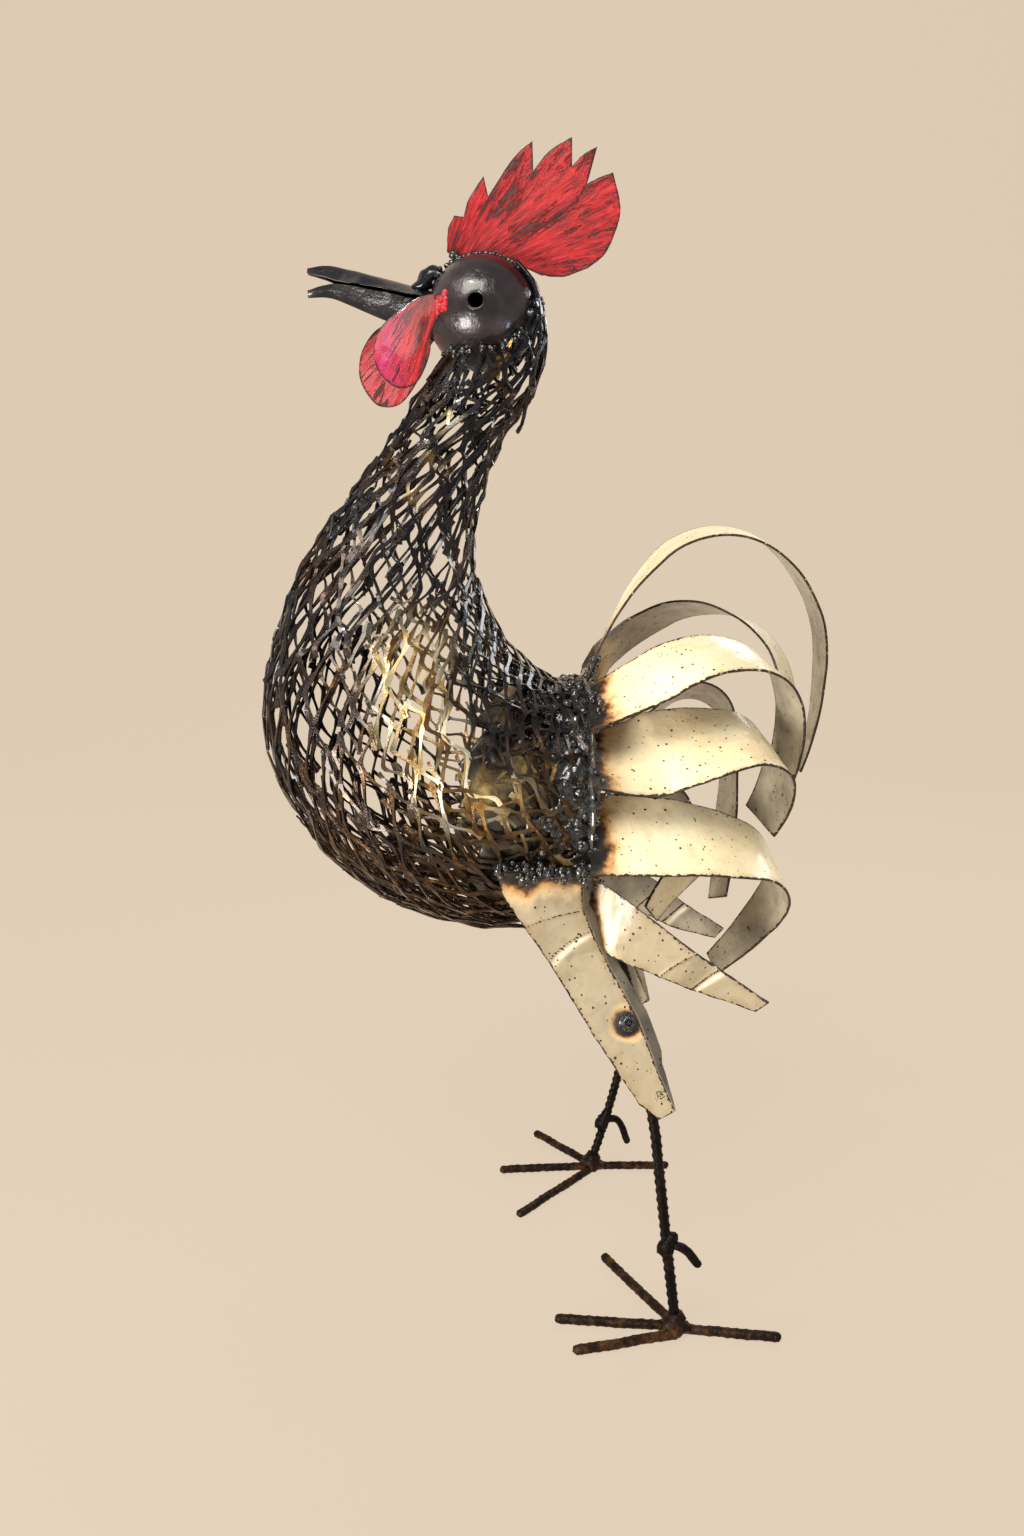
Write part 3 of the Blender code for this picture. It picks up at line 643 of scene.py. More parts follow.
def make_ball():
    """The hollow ball, with its two eye holes cut through."""
    upright = Matrix.Translation(HEAD) @ Matrix.Rotation(math.pi / 2, 4, "Y")
    sideways = Matrix.Translation(EYE) @ Matrix.Rotation(math.pi / 2, 4, "X")
    spheres = []
    for radius, wide, high in ((BALL / 2, 96, 48), (BALL / 2 - BALL_WALL, 48, 24)):
        bm = bmesh.new()
        bmesh.ops.create_uvsphere(bm, u_segments=wide, v_segments=high, radius=radius, matrix=upright)
        spheres.append(object_of(bm, "ball_steel"))
    bm = bmesh.new()
    bmesh.ops.create_cone(bm, cap_ends=True, segments=40, radius1=EYE_HOLE / 2, radius2=EYE_HOLE / 2,
                          depth=2 * BALL, matrix=sideways)
    hole = object_of(bm, "hole")
    ball, cavity = spheres
    for tool in (cavity, hole):
        modifier = ball.modifiers.new(tool.name, "BOOLEAN")
        modifier.operation = "DIFFERENCE"
        modifier.object = tool
        modifier.solver = "EXACT"
    graph = bpy.context.evaluated_depsgraph_get()
    cut = bpy.data.meshes.new_from_object(ball.evaluated_get(graph))
    ball.modifiers.clear()
    ball.data = cut
    for tool in (cavity, hole):
        bpy.data.objects.remove(tool)
    for vert in cut.vertices:
        out = vert.co - HEAD
        if out.length > BALL / 2 - BALL_WALL / 2:
            dent = BALL_INSET * rough(vert.co, 45, 3.0)
            vert.co -= out.normalized() * (BALL_INSET - dent)
    cut.shade_smooth()
    cut.set_sharp_from_angle(angle=math.radians(40))
    cut.materials.clear()
    cut.materials.append(BALL_STEEL)
    ball.name = "ball_steel"
    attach(ball, "root")
    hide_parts("head_ball")


def make_eye_rings():
    """A thin pressed ring round each eye hole, lying on the ball."""
    for side, sign in SIDES.items():
        shape = Shape()
        rows = []
        for angle in turns(48):
            row = []
            for turn in turns(8):
                radius = EYE_HOLE / 2 + EYE_RING_WIDTH * (0.5 + 0.5 * math.cos(turn))
                place = EYE + Vector((radius * math.cos(angle), 0, radius * math.sin(angle)))
                flat = place - HEAD
                reach = BALL / 2 - BALL_INSET + EYE_RING_PROUD * math.sin(turn) * 0.7
                place.y = HEAD.y + sign * math.sqrt(max(reach**2 - flat.x**2 - flat.z**2, 0))
                row.append(shape.add(place))
            rows.append(row)
        rows.append(rows[0])
        shape.skin(rows, ends=False)
        shape.piece("eye_ring_pressed_" + side, BALL_STEEL, ["eye_ring_" + side])


BEAK_WALL = 0.0015
BEAK_UPPER = (
    # x, the fold's height, the edges' height, half the width
    (-0.1385, 0.7176, 0.7140, 0.0022),
    (-0.1260, 0.7191, 0.7108, 0.0060),
    (-0.1160, 0.7178, 0.7076, 0.0080),
    (-0.0874, 0.7114, 0.7025, 0.0120),
    (-0.0550, 0.7030, 0.6950, 0.0160),
    (-0.0420, 0.7005, 0.6925, 0.0172),
)
BEAK_LOWER = (
    (-0.1385, 0.6986, 0.7030, 0.0020),
    (-0.1260, 0.6985, 0.7055, 0.0050),
    (-0.1160, 0.6960, 0.7056, 0.0070),
    (-0.0874, 0.6842, 0.7000, 0.0105),
    (-0.0550, 0.6713, 0.6925, 0.0140),
    (-0.0420, 0.6665, 0.6900, 0.0148),
)


def make_beak():
    """Two folded sheets, rounded along their folds, with a rolled lip along their edges."""
    for name, stations, inward in (("upper", BEAK_UPPER, -1), ("lower", BEAK_LOWER, 1)):
        folds = smooth_path([Vector((x, ridge, edge)) for x, ridge, edge, _ in stations], 10)
        widths = smooth_path([Vector((half, 0, 0)) for *_, half in stations], 10)
        shape = Shape()
        rows = []
        for (x, ridge, edge), width in zip(folds, widths):
            half = width.x
            outer, inner = [], []
            for k in range(17):
                share = (k - 8) / 8
                rise = 1 - abs(share) ** 1.35
                z = edge + (ridge - edge) * rise
                lip = 0.0005 * max(0.0, abs(share) - 0.8) / 0.2
                place = at(x, share * (half + lip), z)
                place += rough_shift(place, 90) * 0.0004
                outer.append(shape.add(place))
                shrunk = max(half - BEAK_WALL, half * 0.4)
                inside = edge + (ridge - edge) * rise + inward * BEAK_WALL * 1.2 * (1 - abs(share) ** 6)
                inner.append(shape.add(at(x, share * shrunk, inside)))
            rows.append(outer + inner[::-1])
        shape.skin(rows)
        shape.piece("beak_sheet_" + name, BEAK_STEEL, ["beak_" + name], sharp=60)


NOSE_WELD = (
    # x, z, half its width, half its height
    (-0.0702, 0.7034, 0.0028, 0.0012), (-0.0662, 0.7040, 0.0058, 0.0028), (-0.0622, 0.7056, 0.0076, 0.0046),
    (-0.0588, 0.7086, 0.0088, 0.0064), (-0.0560, 0.7112, 0.0094, 0.0070), (-0.0528, 0.7128, 0.0094, 0.0062),
    (-0.0500, 0.7118, 0.0094, 0.0056), (-0.0465, 0.7092, 0.0088, 0.0054), (-0.0420, 0.7050, 0.0070, 0.0050),
)


def make_nose_weld():
    """The smooth run of weld from the beak's ridge up onto the ball."""
    shape = Shape()
    places = smooth_path([at(x, 0, z) for x, z, _, _ in NOSE_WELD], 4)
    sizes = smooth_path([Vector((wide, high, 0)) for _, _, wide, high in NOSE_WELD], 4)
    across = Vector((0, 1, 0))
    rows = []
    for k, (place, size) in enumerate(zip(places, sizes)):
        ahead, back = places[min(k + 1, len(places) - 1)], places[max(k - 1, 0)]
        above = across.cross(ahead - back).normalized()
        row = []
        for angle in turns(24):
            point = place + across * (size.x * math.cos(angle)) + above * (size.y * math.sin(angle))
            row.append(shape.add(point + rough_shift(point, 160, 3.0) * 0.0012))
        rows.append(row)
    shape.skin(rows)
    for k, (x, y, z, size) in enumerate((
        (-0.0480, -0.0095, 0.7150, 0.0016), (-0.0520, -0.0098, 0.7060, 0.0020),
        (-0.0495, -0.0100, 0.7105, 0.0014),
    )):
        shape.lump(at(x, y, z), Vector((size, size, size)), k + 20.0)
    shape.piece("nose_weld_run", BEAK_STEEL, ["beak_weld"])


# Comb and wattles, as outlines in the bird's mid plane

RED_CELL = 0.0022
COMB_BEADS = 38
WATTLE_BEADS = 26
COMB_TEETH = (
    # valley before the tooth, the belly of its front edge, then its tip
    ((-0.0439, 0.7280), (-0.0430, 0.7420), (-0.0388, 0.7510)),
    ((-0.0325, 0.7500), (-0.0288, 0.7615), (-0.0191, 0.7757)),
    ((-0.0160, 0.7630), (0.0010, 0.7870), (0.0137, 0.7975)),
    ((0.0144, 0.7790), (0.0250, 0.7914), (0.0400, 0.8000)),
    ((0.0401, 0.7821), (0.0480, 0.7895), (0.0569, 0.7940)),
    ((0.0502, 0.7709), (0.0590, 0.7750), (0.0675, 0.7778)),
)
COMB_BACK = (
    (0.0675, 0.7778), (0.0725, 0.7590), (0.0713, 0.7458), (0.0640, 0.7285), (0.0541, 0.7197),
    (0.0430, 0.7146), (0.0325, 0.7121), (0.0200, 0.7132),
)
COMB_FOOT = ((0.0060, 0.7190), (-0.0100, 0.7215), (-0.0330, 0.7210))
WATTLE = (
    (-0.0500, 0.6970), (-0.0470, 0.6880), (-0.0490, 0.6810), (-0.0535, 0.6700), (-0.0545, 0.6560),
    (-0.0625, 0.6385), (-0.0745, 0.6340), (-0.0835, 0.6392), (-0.0897, 0.6475), (-0.0915, 0.6571),
    (-0.0905, 0.6650), (-0.0859, 0.6750), (-0.0770, 0.6830), (-0.0640, 0.6930),
)
WATTLE_ROOT = (-0.0500, 0.6950)
WATTLE_OUT = 0.0215
WATTLE_SPLAY = math.radians(9)
WATTLE_SWING = {"left": 0.0, "right": math.radians(-13)}
WATTLE_GROWTH = {"left": 1.0, "right": 1.18}
WATTLE_TINT = {"left": (0.36, 0.018, 0.09), "right": (0.50, 0.10, 0.11)}


def flat_place(pair):
    return Vector((pair[0], 0, pair[1]))


def curved(points, steps):
    return smooth_path([flat_place(pair) for pair in points], steps)


def comb_outline():
    outline = []
    for valley, belly, tip in COMB_TEETH:
        outline += curved((valley, belly, tip), 6)
    outline += curved(COMB_BACK, 6)[1:]
    outline += [flat_place(pair) for pair in COMB_FOOT]
    return [place + rough_shift(place, 420) * 0.0004 for place in outline]


def sheet_cells(outline, spacing):
    """Points and triangles inside an outline in the XZ plane, no larger than a spacing."""
    bm = bmesh.new()
    face = bm.faces.new([bm.verts.new(place) for place in outline])
    face.normal_update()
    bmesh.ops.triangulate(bm, faces=[face], ngon_method="EAR_CLIP")
    for axis in (0, 2):
        low = min(place[axis] for place in outline)
        high = max(place[axis] for place in outline)
        normal = Vector([1.0 if i == axis else 0.0 for i in range(3)])
        count = int((high - low) / spacing)
        for k in range(1, count + 1):
            geometry = bm.verts[:] + bm.edges[:] + bm.faces[:]
            bmesh.ops.bisect_plane(bm, geom=geometry, plane_co=normal * (low + k * spacing), plane_no=normal,
                                   dist=1e-6)
    bmesh.ops.remove_doubles(bm, verts=bm.verts, dist=1e-5)
    bm.verts.ensure_lookup_table()
    bm.verts.index_update()
    points = [vert.co.copy() for vert in bm.verts]
    faces = [tuple(vert.index for vert in face.verts) for face in bm.faces]
    rims = [tuple(vert.index for vert in edge.verts) for edge in bm.edges if edge.is_boundary]
    bm.free()
    return points, faces, rims


def distance_to_line(place, line):
    best = 1.0
    for one, other in zip(line, line[1:]):
        along = other - one
        share = clamp((place - one).dot(along) / max(along.length_squared, 1e-12))
        best = min(best, (place - one - along * share).length)
    return best


def thick_sheet(shape, outline, spacing, thick, move, marks):
    """A sheet of a thickness from an outline. move places a flat point, and marks gives its numbers."""
    points, faces, rims = sheet_cells(outline, spacing)
    fronts, backs = [], []
    for point in points:
        edge = distance_to_line(point, outline + outline[:1])
        soft = thick / 2 * (1 - 0.35 * math.exp(-(edge / 0.0006) ** 2))
        values = dict(marks(point), edge=edge)
        fronts.append(shape.add(move(point, -soft), **values))
        backs.append(shape.add(move(point, soft), **values))
    for face in faces:
        shape.faces.append(tuple(fronts[i] for i in face))
        shape.faces.append(tuple(backs[i] for i in reversed(face)))
    for one, other in rims:
        shape.faces.append((fronts[one], fronts[other], backs[other], backs[one]))


def make_comb():
    shape = Shape("edge", "tint", "across", "along")

    def move(point, offset):
        return at(point.x, offset + 0.00018 * rough(point, 160), point.z)

    def marks(point):
        fan = point - Vector((-0.052, 0, 0.700))
        return {"across": math.atan2(fan.z, fan.x), "along": fan.length}

    thick_sheet(shape, comb_outline(), RED_CELL, COMB_SHEET, move, marks)
    paint = red_finish("red_comb", (0.50, 0.03, 0.03), (34, 55), 0.04)
    shape.piece("comb_painted", paint, ["comb"], sharp=40)
    welds = Shape()
    rng = random.Random(11)
    reach = BALL / 2 + 0.0004
    for i in range(COMB_BEADS):
        angle = math.radians(-38 + 78 * i / (COMB_BEADS - 1) + rng.uniform(-1, 1))
        for side in (-1, 1):
            aside = side * rng.uniform(0.0012, 0.0026)
            place = HEAD + Vector((math.sin(angle) * reach, aside, math.cos(angle) * reach))
            welds.lump(place, Vector((0.0022, 0.0017, 0.0016)) * rng.uniform(0.6, 1.25), i * 2.3 + side)
    for x, z, size in ((-0.0395, 0.7262, 0.0036), (-0.0365, 0.7240, 0.0030), (-0.0340, 0.7225, 0.0030)):
        welds.lump(at(x, -0.0015, z), Vector((size, size, size * 0.9)), x * 900)
    welds.piece("comb_welds", SLAG, tidy=False)


def make_wattles():
    """Each wattle is a thin dished sheet that hangs from the ball beside the beak's root."""
    outline = smooth_path([flat_place(pair) for pair in (*WATTLE, WATTLE[0])], 5)[:-1]
    middle = Vector((-0.070, 0, 0.662))
    for side, sign in SIDES.items():
        root = Vector((WATTLE_ROOT[0], 0, WATTLE_ROOT[1]))
        swing = Matrix.Rotation(-WATTLE_SWING[side], 4, "Y")
        splay = Matrix.Rotation(sign * WATTLE_SPLAY, 4, "X")
        turn = Matrix.Translation(root + Vector((0, sign * WATTLE_OUT, 0))) @ splay @ swing
        growth = WATTLE_GROWTH[side]
        turn = turn @ Matrix.Diagonal([growth, 1, growth, 1]) @ Matrix.Translation(-root)
        shape = Shape("edge", "tint", "across", "along")

        def move(point, offset):
            far = (point - middle).length
            dish = sign * 0.0016 * (1 - min(far / 0.03, 1) ** 2) - sign * 0.0006
            return at(*(turn @ Vector((point.x, dish + offset + 0.0003 * rough(point, 130, sign), point.z))))

        def marks(point):
            fan = point - Vector((-0.040, 0, 0.730))
            tint = 1.0 if sign > 0 else clamp((-0.066 - point.x) / 0.014)
            return {"tint": tint, "across": math.atan2(-fan.x, -fan.z), "along": fan.length}

        thick_sheet(shape, outline, RED_CELL, WATTLE_SHEET * 0.9, move, marks)
        paint = red_finish("red_wattle_" + side, WATTLE_TINT[side], (36, 60), 0.22)
        rng = random.Random(51 + sign)
        for k in range(WATTLE_BEADS):
            spot = Vector((-0.0478 + rng.uniform(-0.0030, 0.0045), 0, 0.6925 + rng.uniform(-0.0085, 0.0045)))
            flat = at(*spot) - HEAD
            flat.y = sign * math.sqrt(max((BALL / 2 - 0.0002) ** 2 - flat.x**2 - flat.z**2, 0.020**2))
            size = rng.uniform(0.0010, 0.0021)
            squash = Vector((size, size * 0.6, size * 1.3))
            shape.lump(HEAD + flat, squash, k * 1.9, edge=0.01, along=0.03 + k * 0.001)
        shape.piece("wattle_painted_" + side, paint, ["wattle_" + side], sharp=40)


# Body

NECK_LEAN = math.radians(45)
RIM_BELOW = 0.009
RIM_DIP = 0.105
SLOPE = 2.3             # radians a body length, by which the strands slope down the flanks
BODY = (
    # front x, front z, back x, back z, half width
    (-0.0640, 0.6370, 0.0236, 0.6840, 0.0445),
    (-0.0780, 0.6120, 0.0215, 0.6540, 0.0450),
    (-0.0953, 0.5884, 0.0095, 0.6260, 0.0450),
    (-0.1150, 0.5630, -0.0080, 0.6010, 0.0460),
    (-0.1340, 0.5370, -0.0200, 0.5750, 0.0490),
    (-0.1540, 0.5040, -0.0260, 0.5450, 0.0560),
    (-0.1680, 0.4680, -0.0245, 0.5170, 0.0660),
    (-0.1766, 0.4290, -0.0215, 0.5000, 0.0790),
    (-0.1740, 0.3890, -0.0130, 0.4815, 0.0910),
    (-0.1590, 0.3520, -0.0025, 0.4660, 0.1000),
    (-0.1330, 0.3150, 0.0085, 0.4540, 0.1045),
    (-0.0970, 0.2850, 0.0180, 0.4460, 0.1035),
    (-0.0550, 0.2670, 0.0270, 0.4420, 0.0980),
    (-0.0150, 0.2590, 0.0350, 0.4400, 0.0900),
    (0.0200, 0.2600, 0.0425, 0.4390, 0.0820),
    (0.0500, 0.2680, 0.0500, 0.4387, 0.0750),
)


def body_tracks():
    """The front line, the back line and the half widths of the body, from the neck's rim to the rump."""
    sphere = BALL / 2 + STRAND * 0.6
    radius = math.sqrt(sphere**2 - RIM_BELOW**2)
    axis = Vector((math.sin(NECK_LEAN), 0, -math.cos(NECK_LEAN)))
    centre = HEAD + axis * RIM_BELOW
    front = Vector((-axis.z, 0, axis.x)) * -radius
    fronts = [centre + front] + [at(x, 0, z) for x, z, _, _, _ in BODY]
    backs = [centre - front] + [at(x, 0, z) for _, _, x, z, _ in BODY]
    halves = [Vector((radius, 0, 0))] + [Vector((row[4], 0, 0)) for row in BODY]
    return [smooth_path(points, 12) for points in (fronts, backs, halves)]


TRACKS = body_tracks()
LAST = len(TRACKS[0]) - 1


def body_ring(share):
    """A ring of the body, by its share of the way from the rim to the rump."""
    where = clamp(share, 0.0, 1.0) * LAST
    i = min(int(where), LAST - 1)
    front, back, half = (track[i].lerp(track[i + 1], where - i) for track in TRACKS)
    return (front + back) / 2, (front - back) / 2, half.x


def body_place(share, angle, out=0.0):
    """A place on the body and the way out of it. Angle 0 is the front, and the near side is below 0."""
    centre, to_front, half = body_ring(share)
    length = to_front.length
    towards = to_front / length
    across = Vector((0, 1, 0))
    place = centre + towards * (length + out) * math.cos(angle) + across * (half + out) * math.sin(angle)
    normal = towards * (half * math.cos(angle)) + across * (length * math.sin(angle))
    return place, normal.normalized()


SIDE_LENGTH = line_length([body_place(k / 60, -math.pi / 2)[0] for k in range(61)])
GILT_LINE = [at(-0.0670, 0, 0.4650), at(-0.0626, 0, 0.4240), at(-0.0360, 0, 0.3760), at(-0.0052, 0, 0.3640)]
GILT_SPOTS = (at(-0.0405, 0, 0.6113), at(-0.0525, 0, 0.5872), at(-0.0659, 0, 0.5667), at(0.0290, 0, 0.3850))
GILT_REACH = 0.019
GILT_SPOT_REACH = 0.0048


def gilt_at(place):
    """How strongly the mesh is heat-tinted gold, in a band down each flank towards the tail."""
    flat = Vector((place.x, GILT_LINE[0].y, place.z))
    away = distance_to_line(flat, GILT_LINE)
    strength = 1.1 * math.exp(-(away / GILT_REACH) ** 2) * (0.85 + 0.9 * rough(place, 60, 8.0))
    for spot in GILT_SPOTS:
        strength = max(strength, 1.1 * math.exp(-((flat - spot).length / GILT_SPOT_REACH) ** 2))
    flank = ease(abs(place.y - GILT_LINE[0].y), 0.030, 0.045)
    return clamp(strength * flank)


def brown_at(place):
    """How brown the mesh is: in patches, and more so low down."""
    low = clamp((0.42 - place.z) / 0.12)
    return clamp(0.15 + 0.8 * low + 0.9 * rough(place, 28, 2.0) + 0.5 * rough(place, 110, 4.0))


def ease(value, low, high):
    """From 0 at low to 1 at high, smoothly."""
    share = clamp((value - low) / (high - low))
    return share * share * (3 - 2 * share)


def rim_at(angle):
    """Where the mesh ends under the ball, as a share of the body: lower beside the ball than before it."""
    return RIM_DIP * (1 - math.cos(angle) ** 4)


def mesh_place(share, angle, out=0.0):
    """A place on the mesh, by its share of the way from the rim to the rump."""
    dip = rim_at(angle)
    return body_place(dip + (1 - dip) * share, angle, out)


def slope_at(share):
    """How far the strands have slid down the flanks by a share of the body, in radians."""
    start, bend = 0.20, 0.36
    past = max(share - start, 0.0)
    if past < bend:
        return SLOPE * past**2 / (2 * bend)
    return SLOPE * (past - bend / 2)


def crowded(place):
    """How thick the tangle of mesh is, above 0 where there is one layer more."""
    low = ease(0.372 - place.z, 0.0, 0.05)
    rear = ease(place.x - SHIFT.x, -0.02, 0.03)
    return max(1.1 * low, 0.7 * rear) - 0.26 + 0.8 * rough(place, 24, 14.0)


BOND_LENGTH = 0.17      # half the length of a bond, in rows
BOND_ASIDE = 0.062      # how far a strand stays beside the middle of its bond, in columns
SMOOTHING = 3
BONDS = []              # where the strands meet, as lattice finds them


def lattice(shape, first, last, columns, half_row, out, wide, thick, seed, skip=0.04, lean=1.0, patchy=False):
    """Strands of expanded metal over a stretch of each flank: they zigzag, and meet in pairs at each bond.

    skip is the share of bonds left out, and lean how much the strands slope. patchy keeps to crowded places.
    """
    rng = random.Random(seed)
    rows = round(SIDE_LENGTH * (last - first) / half_row)
    bond = BOND_LENGTH / rows * (last - first)
    turn = 2 * math.pi / columns

    def run_out(run):
        if len(run) < 4:
            return
        line = smooth_path([place for place, _, _ in run], SMOOTHING)
        size = wide * rng.uniform(0.85, 1.15)
        normals, wides = [], []
        for i in range(len(line)):
            k, step = divmod(i, SMOOTHING)
            one, other = run[min(k, len(run) - 1)], run[min(k + 1, len(run) - 1)]
            free = k % 2 == 1 and step > 0
            normals.append(one[1].lerp(other[1], step / SMOOTHING) + one[2] * (0.55 if free else 0.15))
            wides.append(size * (0.80 if free else 1.42) * rng.uniform(0.88, 1.12))
        shape.strand(line, normals, wides, thick, shade=rng.uniform(0, 1))

    low, high = slope_at(first) * lean, math.pi + slope_at(last) * lean
    for sign in (-1, 1):
        phase = rng.uniform(0, 1)
        for column in range(int(low / turn) - 2, int(high / turn) + 2):
            for side in (1, -1):
                run = []
                for row in range(rows + 1):
                    way = side if row % 2 == 0 else -side
                    slot = column + phase + (0 if row % 2 == 0 else side * 0.5) + way * BOND_ASIDE
                    share = first + (last - first) * row / rows
                    angle = slot * turn - slope_at(share) * lean
                    gone = not -0.06 < angle < math.pi + 0.06 or rng.random() < skip
                    gone = gone or share < rim_at(angle) - 0.012
                    if gone or (patchy and crowded(body_place(share, sign * angle)[0]) < 0):
                        run_out(run)
                        run = []
                        continue
                    for end in (-1, 1):
                        along = share + end * bond * rng.uniform(0.8, 1.25)
                        angle = sign * (slot * turn - slope_at(along) * lean)
                        along = max(along, rim_at(angle))
                        place, normal = body_place(along, angle, out)
                        beside = body_place(along, angle + sign * 0.02, out)[0] - place
                        sway = rough_shift(place, 24, seed) * 0.0052 + rough_shift(place, 75, seed) * 0.0046
                        place = place + sway - normal * (0.8 * sway.dot(normal))
                        place = place + normal * 0.0016 * rough(place, 55, seed + 5)
                        run.append((place, normal, beside.normalized() * way))
                        BONDS.append(place)
                run_out(run)


def tint(shape):
    """Gives every point its gilt and brown by where it is."""
    shades = shape.marks["shade"]
    pairs = zip(shape.points, shades)
    shape.marks["gilt"] = [gilt_at(place) * (0.18 + 0.85 * shade) for place, shade in pairs]
    shape.marks["brown"] = [brown_at(place) for place in shape.points]


WIRE_MARKS = ("shade", "gilt", "brown")
STRETCHES = (
    # where each sheet of the outer mesh starts and ends, as shares of the body's length, and its columns
    (0.00, 0.21, 11), (0.20, 0.36, 13), (0.35, 0.48, 17), (0.47, 0.61, 21), (0.60, 0.80, 26),
    (0.78, 1.00, 29),
)
UNDER_STRETCHES = ((0.00, 0.30, 10), (0.28, 0.52, 17), (0.50, 0.76, 24), (0.74, 1.00, 27))


def make_mesh():
    """The outer mesh, and the inner one with its patches of a third and fourth layer."""
    outer = Shape(*WIRE_MARKS)
    for n, (first, last, columns) in enumerate(STRETCHES):
        lattice(outer, first, last, columns, 0.0200, 0.0002, 0.0017, 0.0010, 1.0 + n)
    tint(outer)
    outer.piece("mesh_outer", WIRE, ["body_mesh"], sharp=70)
    inner = Shape(*WIRE_MARKS)
    for n, (first, last, columns) in enumerate(UNDER_STRETCHES):
        lattice(inner, first, last, columns, 0.0180, -0.0030, 0.0014, 0.0009, 11.0 + n, 0.10, 0.66)
    lattice(inner, 0.48, 1.0, 30, 0.0170, -0.0048, 0.0017, 0.0009, 17.0, 0.06, 1.25, True)
    lattice(inner, 0.62, 1.0, 34, 0.0160, -0.0062, 0.0019, 0.0009, 23.0, 0.06, 0.4, True)
    tint(inner)
    inner.piece("mesh_inner", WIRE, sharp=70)


NAPE = (
    # strands against the back of the ball, from under the comb down to the neck: x and z from its centre
    (0.0225, 0.0300), (0.0330, 0.0180), (0.0375, 0.0030), (0.0385, -0.0120), (0.0375, -0.0270),
    (0.0335, -0.0430),
)
STRAY_THICK = 0.0009
RIM_STRAYS = 80
STRAYS = 190
RIM_TIES = 64
NAPE_WIRES = 7
BOND_BEADS = 230
RIM_BEADS = 150


def add_loose_ends(strays, rng):
    """Short bent wires: some tangled along the neck's rim, and the rest all over the mesh."""
    for i in range(STRAYS):
        by_rim = i < RIM_STRAYS
        share = rng.uniform(-0.004, 0.035) if by_rim else rng.uniform(0.03, 0.98)
        angle = rng.uniform(-math.pi, math.pi)
        heading = rng.gauss(1.3 if by_rim else 0, 0.5)
        length = rng.uniform(0.009, 0.019)
        out = rng.uniform(-0.0030, 0.0) if by_rim else rng.uniform(-0.0012, 0.0006)
        places, normals = [], []
        for k in range(6):
            step = (k / 5 - 0.5) * length
            place, normal = mesh_place(
                max(share + step * math.cos(heading) / SIDE_LENGTH, -0.004),
                angle + step * math.sin(heading) / (0.045 if by_rim else 0.08),
                out + 0.0006 * math.sin(k * 2.0 + i),
            )
            places.append(place + rough_shift(place, 90, 9.0) * 0.0015)
            normals.append(normal)
        strays.strand(places, normals, rng.uniform(0.0012, 0.0018), STRAY_THICK, shade=rng.uniform(0, 1))


def add_rim_ties(strays, rng):
    """Wires from the neck's rim up onto the ball. Gives back where they touch it."""
    touches = []
    reach = BALL / 2 + 0.0008
    for i in range(RIM_TIES):
        angle = 2 * math.pi * (i + rng.uniform(-0.4, 0.4)) / RIM_TIES
        foot, normal = mesh_place(rng.uniform(0.004, 0.03), angle, -0.001)
        top = foot + Vector((rng.uniform(-0.004, 0.004), 0, rng.uniform(0.0, 0.004)))
        top = HEAD + (top - HEAD).normalized() * reach
        bend = foot.lerp(top, 0.5) + rough_shift(foot, 200, i) * 0.004
        lean = Vector((0, 0, 1)).cross(normal) * rng.uniform(-0.006, 0.006)
        touch = HEAD + (top + lean - HEAD).normalized() * reach
        touches.append(touch)
        path = smooth_path([foot, bend + lean * 0.5, touch], 3)
        normals = [normal] * len(path)
        strays.strand(path, normals, rng.uniform(0.0012, 0.0018), STRAY_THICK, shade=rng.uniform(0, 1))
    return touches


def add_nape(strays, rng):
    """Wires down the back of the ball."""
    for i in range(NAPE_WIRES):
        aside = (i - NAPE_WIRES // 2) * 0.0062 + rng.uniform(-0.002, 0.002)
        nape = []
        for x, z in NAPE:
            lifted = Vector((x, aside, z))
            reach = BALL / 2 + rng.uniform(0.0008, 0.0028)
            if lifted.length < reach + 0.001:
                lifted = lifted.normalized() * reach
            nape.append(HEAD + lifted)
        path = smooth_path(nape, 5)
        outward = [(place - HEAD).normalized() for place in path]
        strays.strand(path, outward, rng.uniform(0.0014, 0.0020), 0.0012, sides=6, shade=rng.uniform(0, 0.5))


def make_fork():
    """The forked tan wire on the near side of the ball, below the eye."""
    fork = Shape(*WIRE_MARKS)
    middle = ball_side(-0.0060, 0.6560)
    for x, z in ((0.0000, 0.6655), (0.0060, 0.6570), (-0.0110, 0.6395), (-0.0170, 0.6545)):
        reach = ball_side(x, z)
        path = [middle, middle.lerp(reach, 0.5), reach]
        fork.strand(path, [Vector((0, -1, 0))] * 3, [0.0024, 0.0017, 0.0012], 0.0011, gilt=0.6, brown=1.0)
    fork.piece("mesh_fork", WIRE, sharp=70)


def make_strays():
    """Loose ends, tangles along the neck's rim, and lumps of weld that tie the layers of mesh together."""
    rng = random.Random(21)
    strays = Shape(*WIRE_MARKS)
    add_loose_ends(strays, rng)
    touches = add_rim_ties(strays, rng)
    add_nape(strays, rng)
    tint(strays)
    strays.piece("mesh_strays", WIRE, sharp=70)
    make_fork()
    beads = Shape()
    for i in range(BOND_BEADS):
        size = rng.uniform(0.0010, 0.0022)
        squash = Vector((size, size * rng.uniform(0.7, 1.2), size * rng.uniform(0.8, 1.4)))
        beads.lump(rng.choice(BONDS), squash, i * 1.7)
    for i in range(RIM_BEADS):
        place = rng.choice(touches) + Vector([rng.gauss(0, 0.0012) for _ in range(3)])
        size = rng.uniform(0.0012, 0.0027)
        beads.lump(place, Vector((size, size, size * rng.uniform(0.8, 1.5))), i * 2.9)
    beads.piece("mesh_beads", SLAG, tidy=False)


